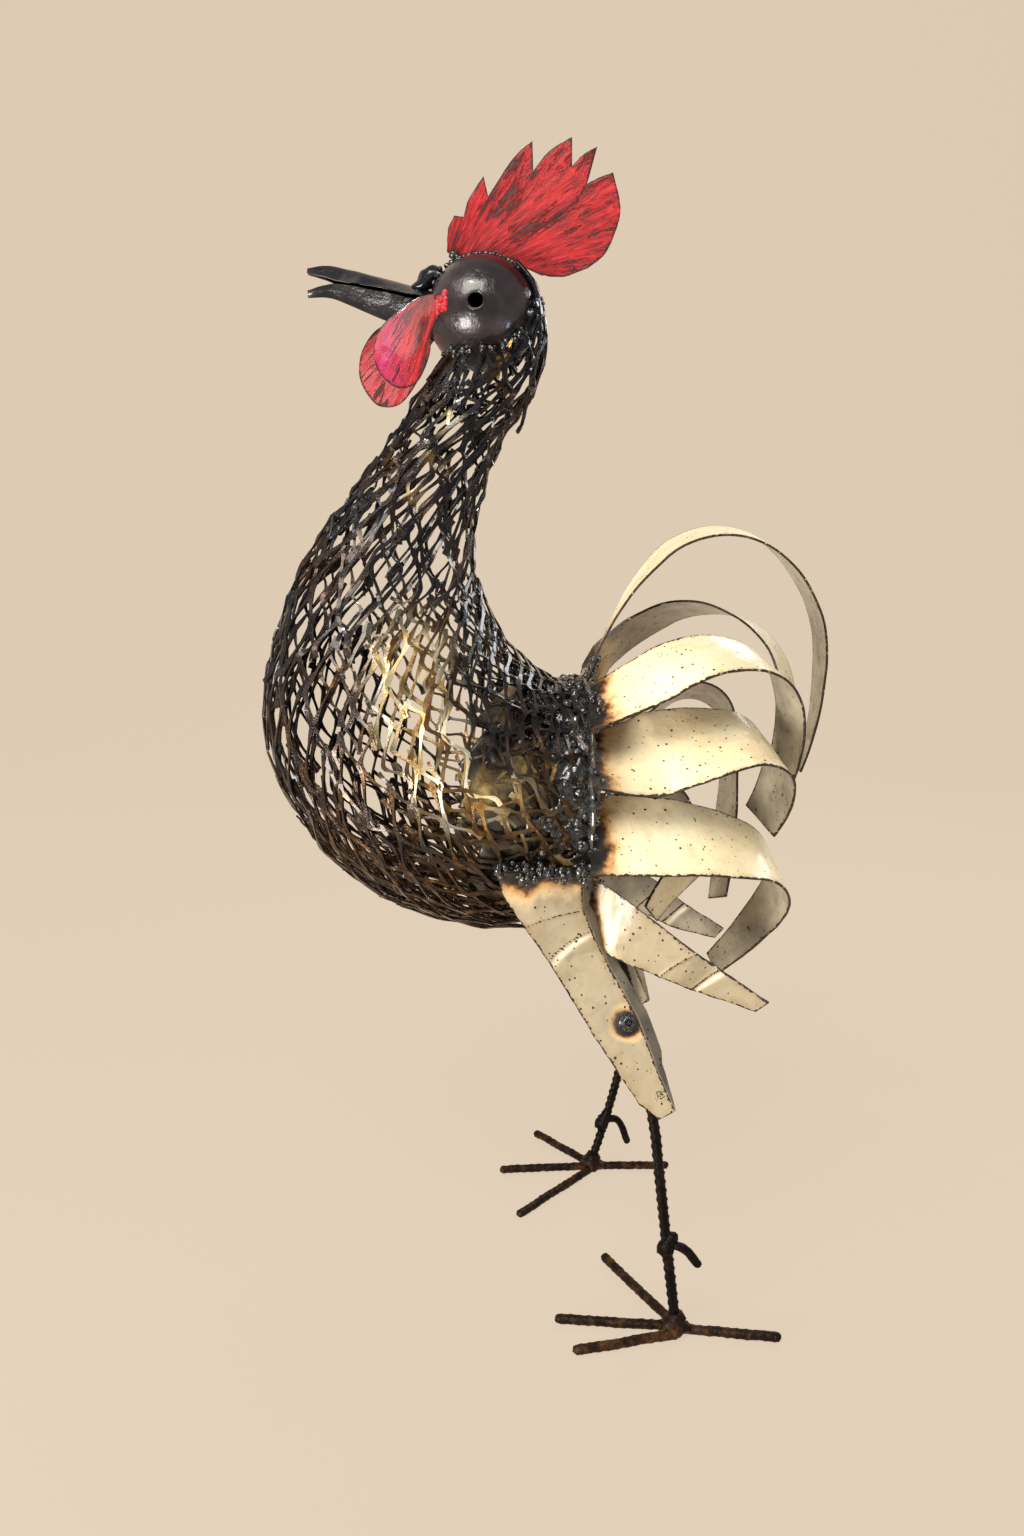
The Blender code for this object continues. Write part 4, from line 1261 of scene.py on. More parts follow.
def ball_side(x, z):
    """A place just off the near side of the ball, or beside it where it is past the ball's edge."""
    flat = at(x, 0, z)
    inside = (BALL / 2 + 0.0034) ** 2 - (flat.x - HEAD.x) ** 2 - (flat.z - HEAD.z) ** 2
    flat.y = HEAD.y - math.sqrt(max(inside, 0.012**2))
    return flat


# Rump

AMBER = (at(-0.0180, 0, 0.3740), at(0.0080, 0, 0.3830), at(0.0240, 0, 0.3880))
AMBER_ABOVE = at(-0.0046, 0, 0.4284)
CREAM_SPOT = at(0.0343, -0.080, 0.3222)
RUMP_SLOTS = 150
RUMP_WALL = 0.0012
RUMP_BEADS = 420
HIP_BEADS = 90
SHEET_ROWS = 44
SKIN_ROWS = 60
RUMP_BACK = (
    # the rings behind the body's last one: how far each is out from it, and its x
    (0.004, RUMP_X), (0.0075, RUMP_X + 0.001), (0.0085, RUMP_X + 0.0035), (0.006, RUMP_FACE),
    (0.0, RUMP_FACE + 0.001), (-0.008, RUMP_FACE + 0.001), (-0.018, RUMP_FACE), (-0.030, RUMP_FACE),
    (-0.045, RUMP_FACE), (-0.060, RUMP_FACE), (-0.072, RUMP_FACE),
)


def panel_at(place):
    """How clean and amber the sheet under the mesh is, on both flanks alike."""
    flat = Vector((place.x, SHIFT.y, place.z))
    best = min((flat - spot).length for spot in AMBER) - 0.004
    best = min(best, (flat - AMBER_ABOVE).length + 0.004)
    flank = ease(abs(place.y - SHIFT.y), 0.040, 0.055)
    return clamp(1.25 - best / 0.014 + 0.8 * rough(place, 80, 1.0)) * flank


def cream_at(place):
    """A spot of cream paint on the near side of the weld."""
    return 0.85 if (place - CREAM_SPOT).length + 0.006 * rough(place, 180, 6.0) < 0.0085 else 0.0


def thicken(made):
    wall = made.modifiers.new("wall", "SOLIDIFY")
    wall.thickness = RUMP_WALL
    wall.offset = -1


def make_rump_sheet():
    """The dark sheet under the rear of the mesh."""
    sheet = Shape("panel")
    numbers = {}
    for k in range(SHEET_ROWS):
        share = 0.72 + 0.28 * k / (SHEET_ROWS - 1)
        for slot in range(RUMP_SLOTS):
            place, normal = body_place(share, 2 * math.pi * slot / RUMP_SLOTS, -0.0066)
            if place.x > SHIFT.x - 0.030 + 0.016 * rough(place, 40, 12.0):
                place = place + normal * 0.0006 * rough(place, 50, 3.0)
                numbers[k, slot] = sheet.add(place, panel=panel_at(place))
    sheet.net(numbers, SHEET_ROWS, RUMP_SLOTS)
    thicken(sheet.piece("rump_sheet", SOOTY, sharp=70))


def make_rump_skin():
    """The lumpy skin of weld over the sheet, ragged at its front and closed behind."""
    shape = Shape("cream")
    numbers = {}
    slots = 2 * RUMP_SLOTS
    for k in range(SKIN_ROWS):
        share = 0.70 + 0.30 * k / (SKIN_ROWS - 1)
        for slot in range(slots):
            place, normal = body_place(share, math.pi * slot / RUMP_SLOTS, -0.0030)
            place = place + normal * 0.0042 * ease(place.x - SHIFT.x, 0.022, 0.05)
            lumps = 0.0026 * rough(place, 75, 1.0) + 0.0018 * rough(place, 190, 2.0)
            lumps += 0.0007 * rough(place, 420, 2.0)
            start = SHIFT.x + 0.020 + 0.026 * rough(place, 50, 7.0) + 0.012 * rough(place, 150, 9.0)
            if place.x > start or k > SKIN_ROWS - 4:
                place = place + normal * lumps
                numbers[k, slot] = shape.add(place, cream=cream_at(place))
    shape.net(numbers, SKIN_ROWS, slots)
    behind = [[numbers[SKIN_ROWS - 1, slot] for slot in range(slots)]]
    centre = body_ring(1.0)[0]
    for reach, x in RUMP_BACK:
        back = Vector((0.6 if reach < 0.005 else 0.1, 0, 0))
        row = []
        for slot in range(slots):
            place, _ = body_place(1.0, math.pi * slot / RUMP_SLOTS, reach)
            place.x = SHIFT.x + x
            lumps = 0.0022 * rough(place, 90, 4.0) + 0.0012 * rough(place, 240, 5.0)
            out = back + (place - centre).normalized() * (0.7 if reach > 0 else 0)
            row.append(shape.add(place + out * lumps, cream=cream_at(place)))
        behind.append(row)
    shape.skin(behind, ends=False)
    shape.faces.append(tuple(behind[-1]))
    thicken(shape.piece("rump_weld_skin", SLAG, ["rump_plate"], sharp=70))


def make_rump_beads():
    """Drops of weld over the rump, round the wing's root and along the top of the thigh."""
    lumps = Shape()
    rng = random.Random(31)
    for i in range(RUMP_BEADS):
        angle = rng.uniform(-math.pi, math.pi)
        if rng.random() < 0.5:
            place, _ = body_place(1.0, angle, rng.uniform(-0.016, 0.006))
            place.x = SHIFT.x + RUMP_FACE + rng.uniform(-0.003, 0.002)
        else:
            place, _ = body_place(rng.uniform(0.88, 1.0), angle, rng.uniform(-0.002, 0.002))
            if place.x < SHIFT.x + rng.uniform(0.015, 0.045):
                continue
        size = rng.uniform(0.0014, 0.0042)
        squash = Vector((size, size * rng.uniform(0.6, 1.1), size * rng.uniform(0.7, 1.4)))
        lumps.lump(place, squash, i * 1.3)
    for side in (-1, 1):
        for x, z, size in ((0.0478, 0.3181, 0.0070), (0.0426, 0.3507, 0.0055), (0.0470, 0.3360, 0.0050)):
            for k in range(6):
                forward, aside, up = rng.gauss(0, size / 3), rng.gauss(0, 0.001), rng.gauss(0, size / 3)
                spot = at(x + forward, side * 0.080 + aside, z + up)
                lump = size * rng.uniform(0.35, 0.65)
                lumps.lump(spot, Vector((lump, lump * 0.8, lump * 1.1)), x * 1000 + k)
        for k in range(HIP_BEADS):
            share = rng.random()
            aside = 0.088 + rng.uniform(-0.006, 0.010)
            spot = at(-0.010 + 0.058 * share, side * aside, 0.320 - 0.003 * share)
            spot.z += rng.gauss(0.001, 0.0022)
            lump = rng.uniform(0.0010, 0.0030)
            lumps.lump(spot, Vector((lump, lump, lump * rng.uniform(0.8, 1.8))), k * 0.7)
    lumps.piece("rump_beads", SLAG, tidy=False)


# Tail strips, by where they start and how they bend and twist by quarters of their length

TAIL = {
    "top": dict(
        root=(0.0420, -0.0060, 0.4180), start=(0.0582, -0.0051, 0.4490), aim=(-7, 74, -1), length=0.354,
        bends=(28, 84, 47, 19), twists=(12, 5, 3, 8), widths=(0.047, 0.0515, 0.0275),
    ),
    "left_1": dict(
        root=(0.0400, -0.0560, 0.4150), start=(0.0500, -0.0560, 0.4230), aim=(0, 24, 27), length=0.229,
        bends=(-8, 46, 58, 30), twists=(12, -13, -4, -2), widths=(0.050, 0.048, 0.035),
    ),
    "left_2": dict(
        root=(0.0350, -0.0680, 0.3880), start=(0.0450, -0.0650, 0.3895), aim=(16, -7, 20), length=0.220,
        bends=(-28, 16, 86, 44), twists=(27, -21, -3, -10), widths=(0.066, 0.070, 0.034), kept=0.94,
    ),
    "left_3": dict(
        root=(0.0250, -0.0720, 0.3420), start=(0.0348, -0.0720, 0.3427), aim=(4, -2, 49), length=0.269,
        bends=(4, 18, 90, 16), twists=(0, -18, -6, -6), widths=(0.064, 0.057, 0.020),
    ),
    "right_1": dict(
        root=(0.0420, 0.0500, 0.4060), start=(0.0680, 0.0500, 0.4515), aim=(6, 45, -35), length=0.220,
        bends=(23, 49, 47, 14), twists=(4, 17, 9, -3), widths=(0.048, 0.048, 0.036),
    ),
    "right_2": dict(
        root=(0.0350, 0.0620, 0.3700), start=(0.0710, 0.0740, 0.3732), aim=(9, 29, -34), length=0.274,
        bends=(-18, 140, 4, 4), twists=(12, 1, -14, -1), widths=(0.050, 0.050, 0.032),
    ),
    "right_3": dict(
        root=(0.0350, 0.0660, 0.3120), start=(0.0640, 0.0704, 0.3170), aim=(-1, 18, -48), length=0.182,
        bends=(-8, 90, 69, -11), twists=(-1, 7, 10, -2), widths=(0.058, 0.056, 0.026),
    ),
}
STRIP_STEPS = 64
LEAD_STEPS = 6          # stations between a strip's root in the weld and its start
SHEET_COLUMNS = 14
ENAMEL_MARKS = ("root", "edge", "inner", "fold", "rubbed", "soot")


def strip_stations(root, start, aim, length, bends, twists, widths, kept=1.0):
    """Along a bent strip: the middle, half the width across, the way out, and the distance from its start."""
    yaw, pitch, roll = (math.radians(angle) for angle in aim)
    along = Vector((math.cos(pitch) * math.cos(yaw), math.cos(pitch) * math.sin(yaw), math.sin(pitch)))
    side = Vector((0, 0, 1)).cross(along).normalized()
    outward = along.cross(side) * math.cos(roll) - side * math.sin(roll)
    place = at(*start)
    step = length / STRIP_STEPS
    first = along.cross(outward) * widths[0] / 2
    entry = at(*root)
    lead = (place - entry).length
    stations = []
    for k in range(LEAD_STEPS):
        stations.append((entry.lerp(place, k / LEAD_STEPS), first, outward, (k / LEAD_STEPS - 1) * lead))
    for i in range(STRIP_STEPS + 1):
        share = i / STRIP_STEPS
        root_half = min(share, 0.5) * 2
        tip_half = max(share - 0.5, 0) * 2
        width = widths[0] + (widths[1] - widths[0]) * root_half + (widths[2] - widths[1]) * tip_half
        stations.append((place.copy(), along.cross(outward) * width / 2, outward.copy(), share * length))
        quarter = min(int(share * 4), 3)
        bend = math.radians(bends[quarter]) * 4 / STRIP_STEPS
        twist = math.radians(twists[quarter]) * 4 / STRIP_STEPS
        across = along.cross(outward)
        place = place + Matrix.Rotation(-bend / 2, 3, across) @ along * step
        along = Matrix.Rotation(-bend, 3, across) @ along
        outward = Matrix.Rotation(-bend, 3, across) @ outward
        outward = Matrix.Rotation(twist, 3, along) @ outward
    return stations[:LEAD_STEPS + 1 + round(kept * STRIP_STEPS)]


def sheet_of(shape, stations, thick, seed, root_at, ripple=0.0004, folds=(), flange=0.0, soot_at=None):
    """A sheet along stations, with two faces and its rims. Its marks say where the weld, edges and folds are.

    A fold is how far along it crosses each edge, and whether it is rubbed. flange folds one edge in by that
    width. root_at and soot_at give a place's distance from the weld and its soot.
    """
    rows = []
    total = stations[-1][3]
    for middle, reach, outward, far in stations:
        width = reach.length * 2
        outer, inner = [], []
        for k in range(SHEET_COLUMNS + 1):
            share = 2 * k / SHEET_COLUMNS - 1
            place = middle + reach * share
            ragged = 0.0005 * rough(place, 130, seed) * abs(share) ** 6
            place = place + reach.normalized() * ragged
            place = place + outward * ripple * 2.0 * rough(place, 42, seed)
            edge = min((1 - abs(share)) * width / 2, max(total - far, 0.0))
            fold = rubbed = 0.0
            for near_edge, far_edge, worn in folds:
                line = near_edge + (far_edge - near_edge) * (share + 1) / 2
                fold = max(fold, math.exp(-((far - line) / 0.0011) ** 2))
                rubbed = max(rubbed, worn * math.exp(-((far - line - 0.0036) / 0.0022) ** 2))
            place = place + outward * 0.0007 * fold
            soot = 0.0 if soot_at is None else soot_at(place)
            values = dict(root=root_at(place), edge=edge, fold=fold, rubbed=rubbed, soot=soot)
            outer.append(shape.add(place + outward * thick / 2, inner=0.0, **values))
            inner.append(shape.add(place - outward * thick / 2, inner=1.0, **values))
        if flange:
            size = flange * min(1, far / 0.03) * min(1, (total - far) / 0.03)
            back = reach.normalized() * 0.72 - outward * 0.69
            skin = reach.normalized() * 0.69 + outward * 0.72
            for step in (0.15, 0.55, 1.0):
                spot = place + back * size * step
                grey = 0.80 + 0.3 * rough(spot, 60, seed)
                outer.append(shape.add(spot + skin * thick / 2, inner=1.0, root=0.05, edge=0.01, soot=grey))
                inner.append(shape.add(spot - skin * thick / 2, inner=1.0, root=0.05, edge=0.01, soot=grey))
        rows.append(outer + inner[::-1])
    shape.skin(rows)


def make_tail():
    """The bent strips, each cut off inside the rump's weld, and the beads along their roots."""
    welds = Shape()
    rng = random.Random(41)
    for n, (name, spec) in enumerate(TAIL.items()):
        shape = Shape(*ENAMEL_MARKS)
        stations = strip_stations(**spec)

        def root_at(place):
            return place.x - SHIFT.x - RUMP_FACE - 0.002

        sheet_of(shape, stations, FEATHER_SHEET, 3.0 * n, root_at)
        shape.piece("tail_strip_" + name, CREAM, ["tail_feather_" + name], sharp=35,
                    behind=SHIFT.x + RUMP_FACE - 0.003)
        for middle, reach, outward, far in stations[3:10]:
            if SHIFT.x + RUMP_FACE - 0.001 < middle.x < SHIFT.x + RUMP_FACE + 0.005:
                for k in range(9):
                    across = reach * rng.uniform(-1.05, 1.05)
                    place = middle + across + outward * rng.choice((-0.0014, 0.0014))
                    size = rng.uniform(0.0012, 0.0030)
                    welds.lump(place, Vector((size, size, size)), k + n * 7.0)
    welds.piece("tail_root_welds", SLAG, tidy=False)


# Legs and feet

BAR_STEP = 0.0009
BAR_SIDES = 20
RIB_PITCH = 0.0062
RIB_SLANT = 1.6
LEGS = {
    # from the hip down to the ankle
    "left": (
        (0.0400, -0.0300, 0.3100), (0.0600, -0.0410, 0.2920), (0.0690, -0.0610, 0.2550),
        (0.0786, -0.0850, 0.2127), (0.0940, -0.0980, 0.1574), (0.0988, -0.1030, 0.1200),
        (0.1055, -0.1070, 0.0600), (0.1117, -0.1090, 0.0100),
    ),
    "right": (
        (0.0400, 0.0300, 0.3100), (0.0600, 0.0410, 0.2920), (0.0750, 0.0640, 0.2500),
        (0.0900, 0.0820, 0.2000), (0.1010, 0.0920, 0.1544), (0.0940, 0.1020, 0.1050),
        (0.0815, 0.1070, 0.0500), (0.0701, 0.1090, 0.0100),
    ),
}
FEET = {
    # where each toe starts and ends, from the ankle
    "left": {
        "inner": ((0.001, 0.005), (-0.0425, 0.0848)),
        "middle": ((-0.004, 0.003), (-0.0818, 0.0106)),
        "outer": ((0.000, -0.006), (-0.0711, -0.0224)),
        "back": ((0.004, 0.000), (0.0704, -0.0093)),
    },
    "right": {
        "outer": ((-0.001, 0.004), (-0.0488, 0.0600)),
        "middle": ((-0.004, 0.000), (-0.0805, -0.0068)),
        "inner": ((-0.001, -0.004), (-0.0653, -0.0775)),
        "back": ((0.004, 0.000), (0.0668, 0.0017)),
    },
}
SPURS = {
    "left": ((0.1055, -0.1070, 0.0660), (0.1170, -0.1090, 0.0625), (0.1275, -0.1090, 0.0500)),
    "right": ((0.0790, 0.1070, 0.0480), (0.0922, 0.1080, 0.0463), (0.1012, 0.1085, 0.0250)),
}


def bar(shape, path, radius, uneven, seed, ribs=0.0, ends=(True, True), floor=False):
    """A round bar, with slanted ribs on two sides where ribs is over 0. ends says which ends are rounded."""
    up = Vector((0.3, 0.1, 1)).normalized()
    total = line_length(path)
    far = 0.0
    rows = []
    across = None
    for i, place in enumerate(path):
        along = (path[min(i + 1, len(path) - 1)] - path[max(i - 1, 0)]).normalized()
        if across is None:
            across = along.cross(up).normalized()
        across = (across - along * across.dot(along)).normalized()
        above = across.cross(along)
        if i:
            far += (place - path[i - 1]).length
        shrink = 1.0
        for is_round, left in ((ends[0], far), (ends[1], total - far)):
            if is_round and left < radius * 0.9:
                shrink = min(shrink, math.sqrt(max(1 - (1 - left / (radius * 0.9)) ** 2, 0.02)))
        row = []
        for angle in turns(BAR_SIDES):
            rib = 0.0
            if ribs:
                slant = RIB_SLANT * math.cos(angle) * (1 if angle < math.pi else -1)
                wave = math.cos(2 * math.pi * far / RIB_PITCH + slant)
                rib = ribs * max(wave, 0) ** 1.5 * min(abs(math.sin(angle)) * 1.6, 1)
                rib = max(rib, ribs * 0.8 * max(0, 1 - abs(math.sin(angle)) * 5))
            offset = across * math.cos(angle) + above * math.sin(angle)
            size = (radius - ribs + rib) * shrink
            spot = place + offset * size
            spot = spot + offset * uneven * rough(spot, 210, seed)
            if floor:
                spot.z = max(spot.z, 0.0)
            row.append(shape.add(spot))
        rows.append(row)
    shape.skin(rows)


def make_legs():
    """The ribbed legs, and the spur on each with the lumps that join it on."""
    for side in SIDES:
        shape = Shape()
        path = even_path(smooth_path([at(*point) for point in LEGS[side]], 2), BAR_STEP)
        bar(shape, path, LEG_ROD / 2, 0.0002, 1.0, ribs=0.0007)
        shape.piece("leg_bar_" + side, ROD_DARK, ["leg_rod_" + side], sharp=70)
        spur = Shape()
        bend = even_path(smooth_path([at(*point) for point in SPURS[side]], 6), BAR_STEP)
        bar(spur, bend, SPUR_ROD / 2, 0.0004, 2.0)
        knot = Vector(SPURS[side][0])
        for k, size in enumerate((0.0062, 0.0052, 0.0048)):
            shift = Vector((0.0016 * k - 0.0010, 0, 0.0035 * (k - 1)))
            spur.lump(at(*(knot + shift)), Vector((size, size, size * 1.15)), k + 4.0)
        spur.piece("spur_bar_" + side, ROD_DARK, ["spur_" + side], sharp=70)


def make_feet():
    """The lump of weld at each ankle, and the four toes that leave it along the ground."""
    for side in SIDES:
        x, y, _ = LEGS[side][-1]
        ankle = Vector((x, y, 0))
        weld = Shape()
        for k, (dx, dy, dz, size) in enumerate((
            (0, 0, 0.0075, 0.0088), (-0.0045, 0.002, 0.0055, 0.0056), (0.0048, -0.001, 0.0055, 0.0056),
            (0.001, 0.005, 0.0055, 0.0052), (0.0, -0.0052, 0.0055, 0.0052), (0.0002, 0, 0.0125, 0.0060),
        )):
            squash = Vector((size * 1.05, size * 1.05, size * 0.82))
            weld.lump(at(*(ankle + Vector((dx, dy, dz)))), squash, k * 5.1)
        for point in weld.points:
            point.z = max(point.z, 0.0004)
        weld.piece("ankle_weld_" + side, ROD, ["foot_weld_" + side], tidy=False)
        for n, (toe, (start, tip)) in enumerate(FEET[side].items()):
            first = at(*(ankle + Vector((*start, TOE_ROD / 2))))
            last = at(*(ankle + Vector((*tip, TOE_ROD / 2))))
            line = [first.lerp(last, k / 5) for k in range(6)]
            bent = []
            for k, place in enumerate(line):
                sway = rough_shift(place, 45, 2.0) * 0.0012 if 0 < k < 5 else Vector()
                bent.append(place + Vector((sway.x, sway.y, 0)))
            shape = Shape()
            path = even_path(smooth_path(bent, 6), 0.0010)
            bar(shape, path, TOE_ROD / 2, 0.0004, n * 2.0, ribs=0.0003, ends=(False, True), floor=True)
            shape.lump(last - (last - first).normalized() * 0.0032, Vector((0.0034, 0.0034, 0.0031)), n + 9.0)
            for point in shape.points:
                point.z = max(point.z, 0.0)
            which = side + "_" + toe
            shape.piece("toe_bar_" + which, ROD, ["toe_" + which], sharp=70)


# Wing and thigh plates

PLATE_STEP = 0.0009
THIGH = (
    # heights of the front and rear edge, how far each is behind the leg rod, and how far out beyond it
    (0.3220, 0.3180, -0.0500, 0.0070, 0.0600, 0.0490),
    (0.3042, 0.2939, -0.0540, -0.0115, 0.0510, 0.0340),
    (0.2551, 0.2620, -0.0436, -0.0083, 0.0170, 0.0120),
    (0.2071, 0.2200, -0.0245, 0.0070, 0.0035, 0.0035),
    (0.1645, 0.1840, -0.0071, 0.0110, 0.0020, 0.0020),
    (0.1545, 0.1600, 0.0040, 0.0155, 0.0010, 0.0010),
)
WING = (
    # the upper and the lower edge
    ((0.0400, -0.0560, 0.3180), (0.0400, -0.0540, 0.2720)),
    ((0.0753, -0.0720, 0.2979), (0.0700, -0.0735, 0.2560)),
    ((0.1191, -0.0840, 0.2664), (0.1068, -0.0790, 0.2417)),
    ((0.1378, -0.0790, 0.2523), (0.1289, -0.0750, 0.2317)),
    ((0.1735, -0.0830, 0.2280), (0.1655, -0.0800, 0.2205)),
)
BOLT_STATION = 3
BOLT_SHARE = 0.78
HIP_NUT = (0.0535, 0.0765, 0.3668)
HIP_NUT_RADIUS = 0.0052


def rod_at_height(side, height):
    """Where the leg rod passes a height, in the drawn pose."""
    path = smooth_path([Vector(point) for point in LEGS[side]], 2)
    for high, low in zip(path, path[1:]):
        if low.z <= height <= high.z:
            return low.lerp(high, (height - low.z) / (high.z - low.z))
    return path[0]


def thigh_edges(side):
    """The front and rear edge of the thigh plate, clear of the leg rod."""
    sign = SIDES[side]
    clear = LEG_ROD / 2 + GAP + PLATE_SHEET / 2
    edges = []
    for front_z, rear_z, front_x, rear_x, front_out, rear_out in THIGH:
        pair = []
        for height, shift, out in ((front_z, front_x, front_out), (rear_z, rear_x, rear_out)):
            point = rod_at_height(side, height).copy()
            pair.append(at(point.x + shift, point.y + sign * (clear + out), height))
        edges.append(tuple(pair))
    return edges


def plate_stations(edges, spacing, sign):
    """Stations of a plate between its edges: straight between corners, closely spaced."""
    stations = []
    far = 0.0
    for (one_a, one_b), (two_a, two_b) in zip(edges, edges[1:]):
        middle_one, middle_two = (one_a + one_b) / 2, (two_a + two_b) / 2
        length = (middle_two - middle_one).length
        count = max(2, round(length / spacing))
        for k in range(count):
            share = k / count
            a, b = one_a.lerp(two_a, share), one_b.lerp(two_b, share)
            along = middle_two - middle_one
            out = facing(along.cross(b - a).normalized(), sign)
            stations.append(((a + b) / 2, (b - a) / 2, out, far + length * share))
        far += length
    a, b = edges[-1]
    stations.append(((a + b) / 2, (b - a) / 2, stations[-1][2], far))
    smoothed = []
    for i, (middle, reach, out, distance) in enumerate(stations):
        near = [stations[clamp(i + d, 0, len(stations) - 1)][2] for d in range(-8, 9, 2)]
        smoothed.append((middle, reach, sum(near, Vector()).normalized(), distance))
    return smoothed


def facing(normal, sign):
    """The normal, turned to the outer side of the bird."""
    return -normal if normal.y * sign < 0 else normal


def make_thigh(side, sign, edges, seat):
    """The plate down over the leg, in cream enamel darkened as painted shade, sooty at its top and scorched
    round its bolt's seat.
    """
    hip = at(0.016, sign * 0.100, 0.325)

    def root_at(place):
        by_bolt = (place - seat).length - 0.0058
        by_hip = (place - hip).length - 0.006
        by_top = 0.3175 - place.z + 0.006 * rough(place, 70, 4.0)
        return min(by_bolt * 2.6, by_hip, by_top)

    def soot_at(place):
        by_bolt = (place - seat - Vector((-0.0055, 0, 0.0005))).length
        drips = rough(Vector((place.x, place.y, place.z * 0.25)), 120, 3.0)
        top = ease(place.z, 0.300, 0.320) * (0.55 + 0.45 * ease(place.x - SHIFT.x, -0.005, 0.016))
        return min(max(0.85 * math.exp(-(by_bolt / 0.0095) ** 2), top * (0.62 + 1.3 * drips), 0), 1.0)

    shape = Shape(*ENAMEL_MARKS)
    sheet_of(shape, plate_stations(edges, PLATE_STEP, sign), PLATE_SHEET, 31.0 + sign, root_at, 0.0005,
             ((0.043, 0.026, 0), (0.066, 0.047, 1)), 0.0115, soot_at)
    shape.piece("thigh_sheet_" + side, CREAM_SHADED, ["thigh_plate_" + side], sharp=35)


def make_wing(side, sign):
    """The folded plate behind the thigh, in cream enamel darkened as painted shade, cut off inside the rump's
    weld.
    """
    lines = [smooth_path([at(x, -sign * y, z) for x, y, z in line], 6) for line in zip(*WING)]

    def root_at(place):
        return place.x - SHIFT.x - RUMP_FACE - 0.001

    shape = Shape(*ENAMEL_MARKS)
    stations = plate_stations(list(zip(*lines)), PLATE_STEP, sign)
    sheet_of(shape, stations, PLATE_SHEET, 41.0 + sign, root_at, 0.0005,
             ((0.094, 0.080, 0), (0.116, 0.105, 1)))
    shape.piece("wing_sheet_" + side, CREAM_SHADED, ["wing_plate_" + side], sharp=35,
                behind=SHIFT.x + RUMP_FACE - 0.003)


def make_plates():
    for side, sign in SIDES.items():
        edges = thigh_edges(side)
        above, (front, rear), below = edges[BOLT_STATION - 1:BOLT_STATION + 2]
        seat = front.lerp(rear, BOLT_SHARE)
        make_thigh(side, sign, edges, seat)
        make_wing(side, sign)
        along = (below[0] + below[1]) - (above[0] + above[1])
        normal = facing(along.cross(rear - front).normalized(), sign)
        make_nut("thigh_nut_" + side, seat + normal * PLATE_SHEET / 2, normal, BOLT_HEAD / 2,
                 ["thigh_bolt_" + side])
        x, y, z = HIP_NUT
        outward = Vector((0.25, sign, 0.05)).normalized()
        make_nut("hip_nut_" + side, at(x, sign * y, z), outward, HIP_NUT_RADIUS, [])


NUT_PROFILE = (
    # shares of the radius, and heights for a bolt head of the usual size
    (1.0, -0.0004), (1.02, 0.0006), (0.94, 0.0014), (0.70, 0.0015), (0.66, 0.0034), (0.56, 0.0040),
    (0.36, 0.0039), (0.28, 0.0030), (0.26, 0.0012), (0.16, 0.0012), (0.10, 0.0024), (0.03, 0.0026),
)


def make_nut(name, seat, normal, radius, nodes):
    """A round washer with a nut and a pin in it, all under a smear of weld."""
    shape = Shape()
    across = normal.orthogonal().normalized()
    other = normal.cross(across)
    rows = []
    for share, rise in NUT_PROFILE:
        row = []
        for angle in turns(36):
            hexed = 1.0
            if 0.3 < share < 0.7:
                hexed = math.cos(math.pi / 6) / math.cos((angle % (math.pi / 3)) - math.pi / 6) * 1.08
            offset = across * math.cos(angle) + other * math.sin(angle)
            spot = seat + offset * radius * share * hexed + normal * rise * (radius / 0.0065)
            row.append(shape.add(spot + rough_shift(spot, 300, 2.0) * 0.0003))
        rows.append(row)
    shape.skin(rows)
    shape.piece(name, SLAG, nodes, sharp=45)


# Stage, lights and camera

FLOOR_DROP = 0.0002
FOCAL_LENGTH = 1130 / 1536      # as a share of the picture's height
SENSOR = 36
CAMERA_TILT = 9.446


def make_stage():
    """A sheet of warm paper: the floor, curved up into a wall behind the bird."""
    paper = Finish("backdrop_paper")
    paper.set(
        base_color=paper.mix(paper.noise(3, 2, 0.5), (0.040, 0.033, 0.026), (0.042, 0.035, 0.027)),
        roughness=0.95,
        emission_color=(0.73, 0.60, 0.46),
        emission_strength=0.93,
    )
    points, faces = [], []
    profile = [(-3.0, 0.0), (1.6, 0.0)]
    for k in range(1, 13):
        angle = math.pi / 2 * k / 12
        profile.append((1.6 + 0.8 * math.sin(angle), 0.8 - 0.8 * math.cos(angle)))
    profile.append((2.4, 4.0))
    for x in (-5.0, 5.0):
        for y, z in profile:
            points.append((x, y, z - FLOOR_DROP))
    count = len(profile)
    for i in range(count - 1):
        faces.append((i, i + 1, count + i + 1, count + i))
    mesh = bpy.data.meshes.new("studio_floor")
    mesh.from_pydata(points, [], faces)
    mesh.shade_smooth()
    mesh.materials.append(paper.made)
    floor = linked("studio_floor", mesh)


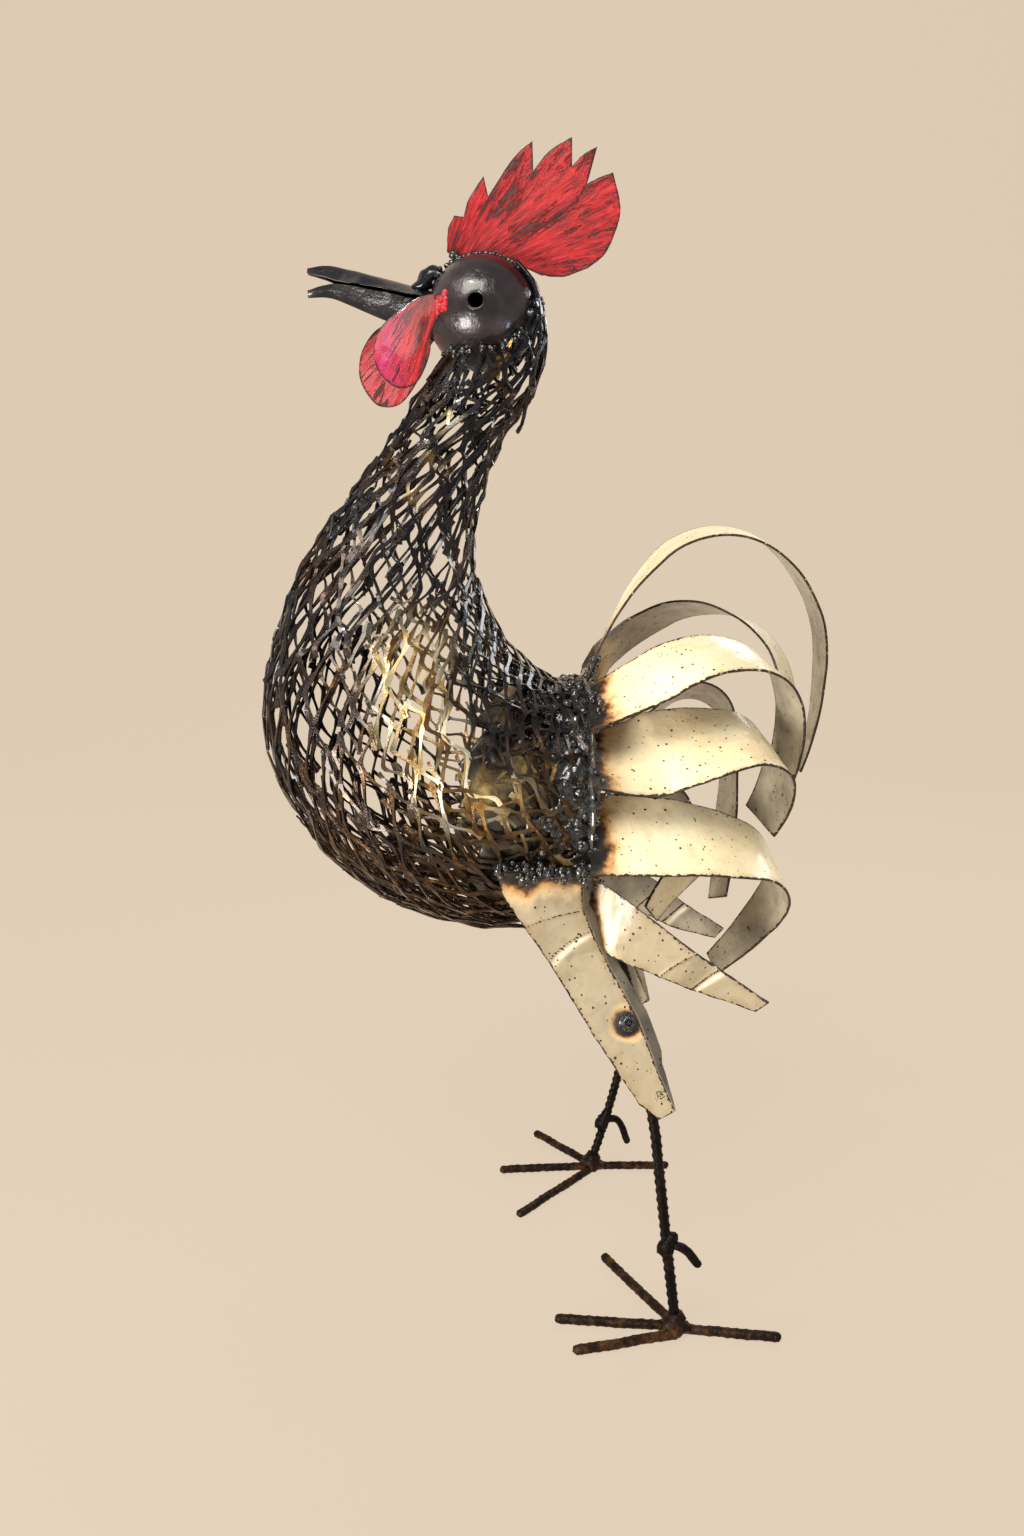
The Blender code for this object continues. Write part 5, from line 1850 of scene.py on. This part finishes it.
def make_light(name, place, aim, size, power, colour):
    lamp = bpy.data.lights.new(name, "AREA")
    lamp.shape = "RECTANGLE"
    lamp.size, lamp.size_y = size
    lamp.energy = power
    lamp.color = colour
    made = linked(name, lamp)
    made.location = place
    made.rotation_mode = "QUATERNION"
    made.rotation_quaternion = (aim - place).to_track_quat("-Z", "Y")


def make_lights():
    world = bpy.data.worlds.new("studio")
    bpy.context.scene.world = world
    world.use_nodes = True
    background = world.node_tree.nodes["Background"]
    background.inputs["Color"].default_value = (0.62, 0.60, 0.58, 1)
    background.inputs["Strength"].default_value = 0.62
    make_light("top", at(-0.60, -1.35, 1.95), at(0.05, 0, 0.42), (1.3, 1.1), 50, (1.0, 0.965, 0.89))
    make_light("spark", at(-0.41, -0.71, 1.75), at(0, 0, 0.5), (0.07, 0.07), 3.2, (1.0, 0.96, 0.88))
    make_light("low_left", at(-0.66, -0.78, 0.19), at(-0.02, 0, 0.50), (0.40, 0.36), 14, (1.0, 0.97, 0.91))
    make_light("low_right", at(0.98, -0.61, 0.10), at(0, 0, 0.60), (0.12, 0.22), 1.4, (0.6, 0.75, 1.0))
    make_light("back", at(0.9, 0.9, 1.2), at(0, 0, 0.4), (0.6, 0.6), 8, (0.92, 0.96, 1.0))


def make_camera():
    lens = bpy.data.cameras.new("photo")
    lens.sensor_fit = "VERTICAL"
    lens.sensor_width = SENSOR
    lens.sensor_height = SENSOR
    lens.lens = FOCAL_LENGTH * SENSOR
    lens.clip_start = 0.01
    lens.clip_end = 30
    camera = linked("photo", lens)
    camera.location = at(0, -0.81, 0.5095)
    camera.rotation_euler = (math.radians(90 - CAMERA_TILT), 0, 0)
    bpy.context.scene.camera = camera


make_camera()
make_ball()
make_eye_rings()
make_beak()
make_nose_weld()
make_comb()
make_wattles()
make_mesh()
make_strays()
make_rump_sheet()
make_rump_skin()
make_rump_beads()
make_tail()
make_legs()
make_feet()
make_plates()
make_stage()
make_lights()
bpy.context.scene.view_settings.view_transform = "Standard"
bpy.context.view_layer.update()
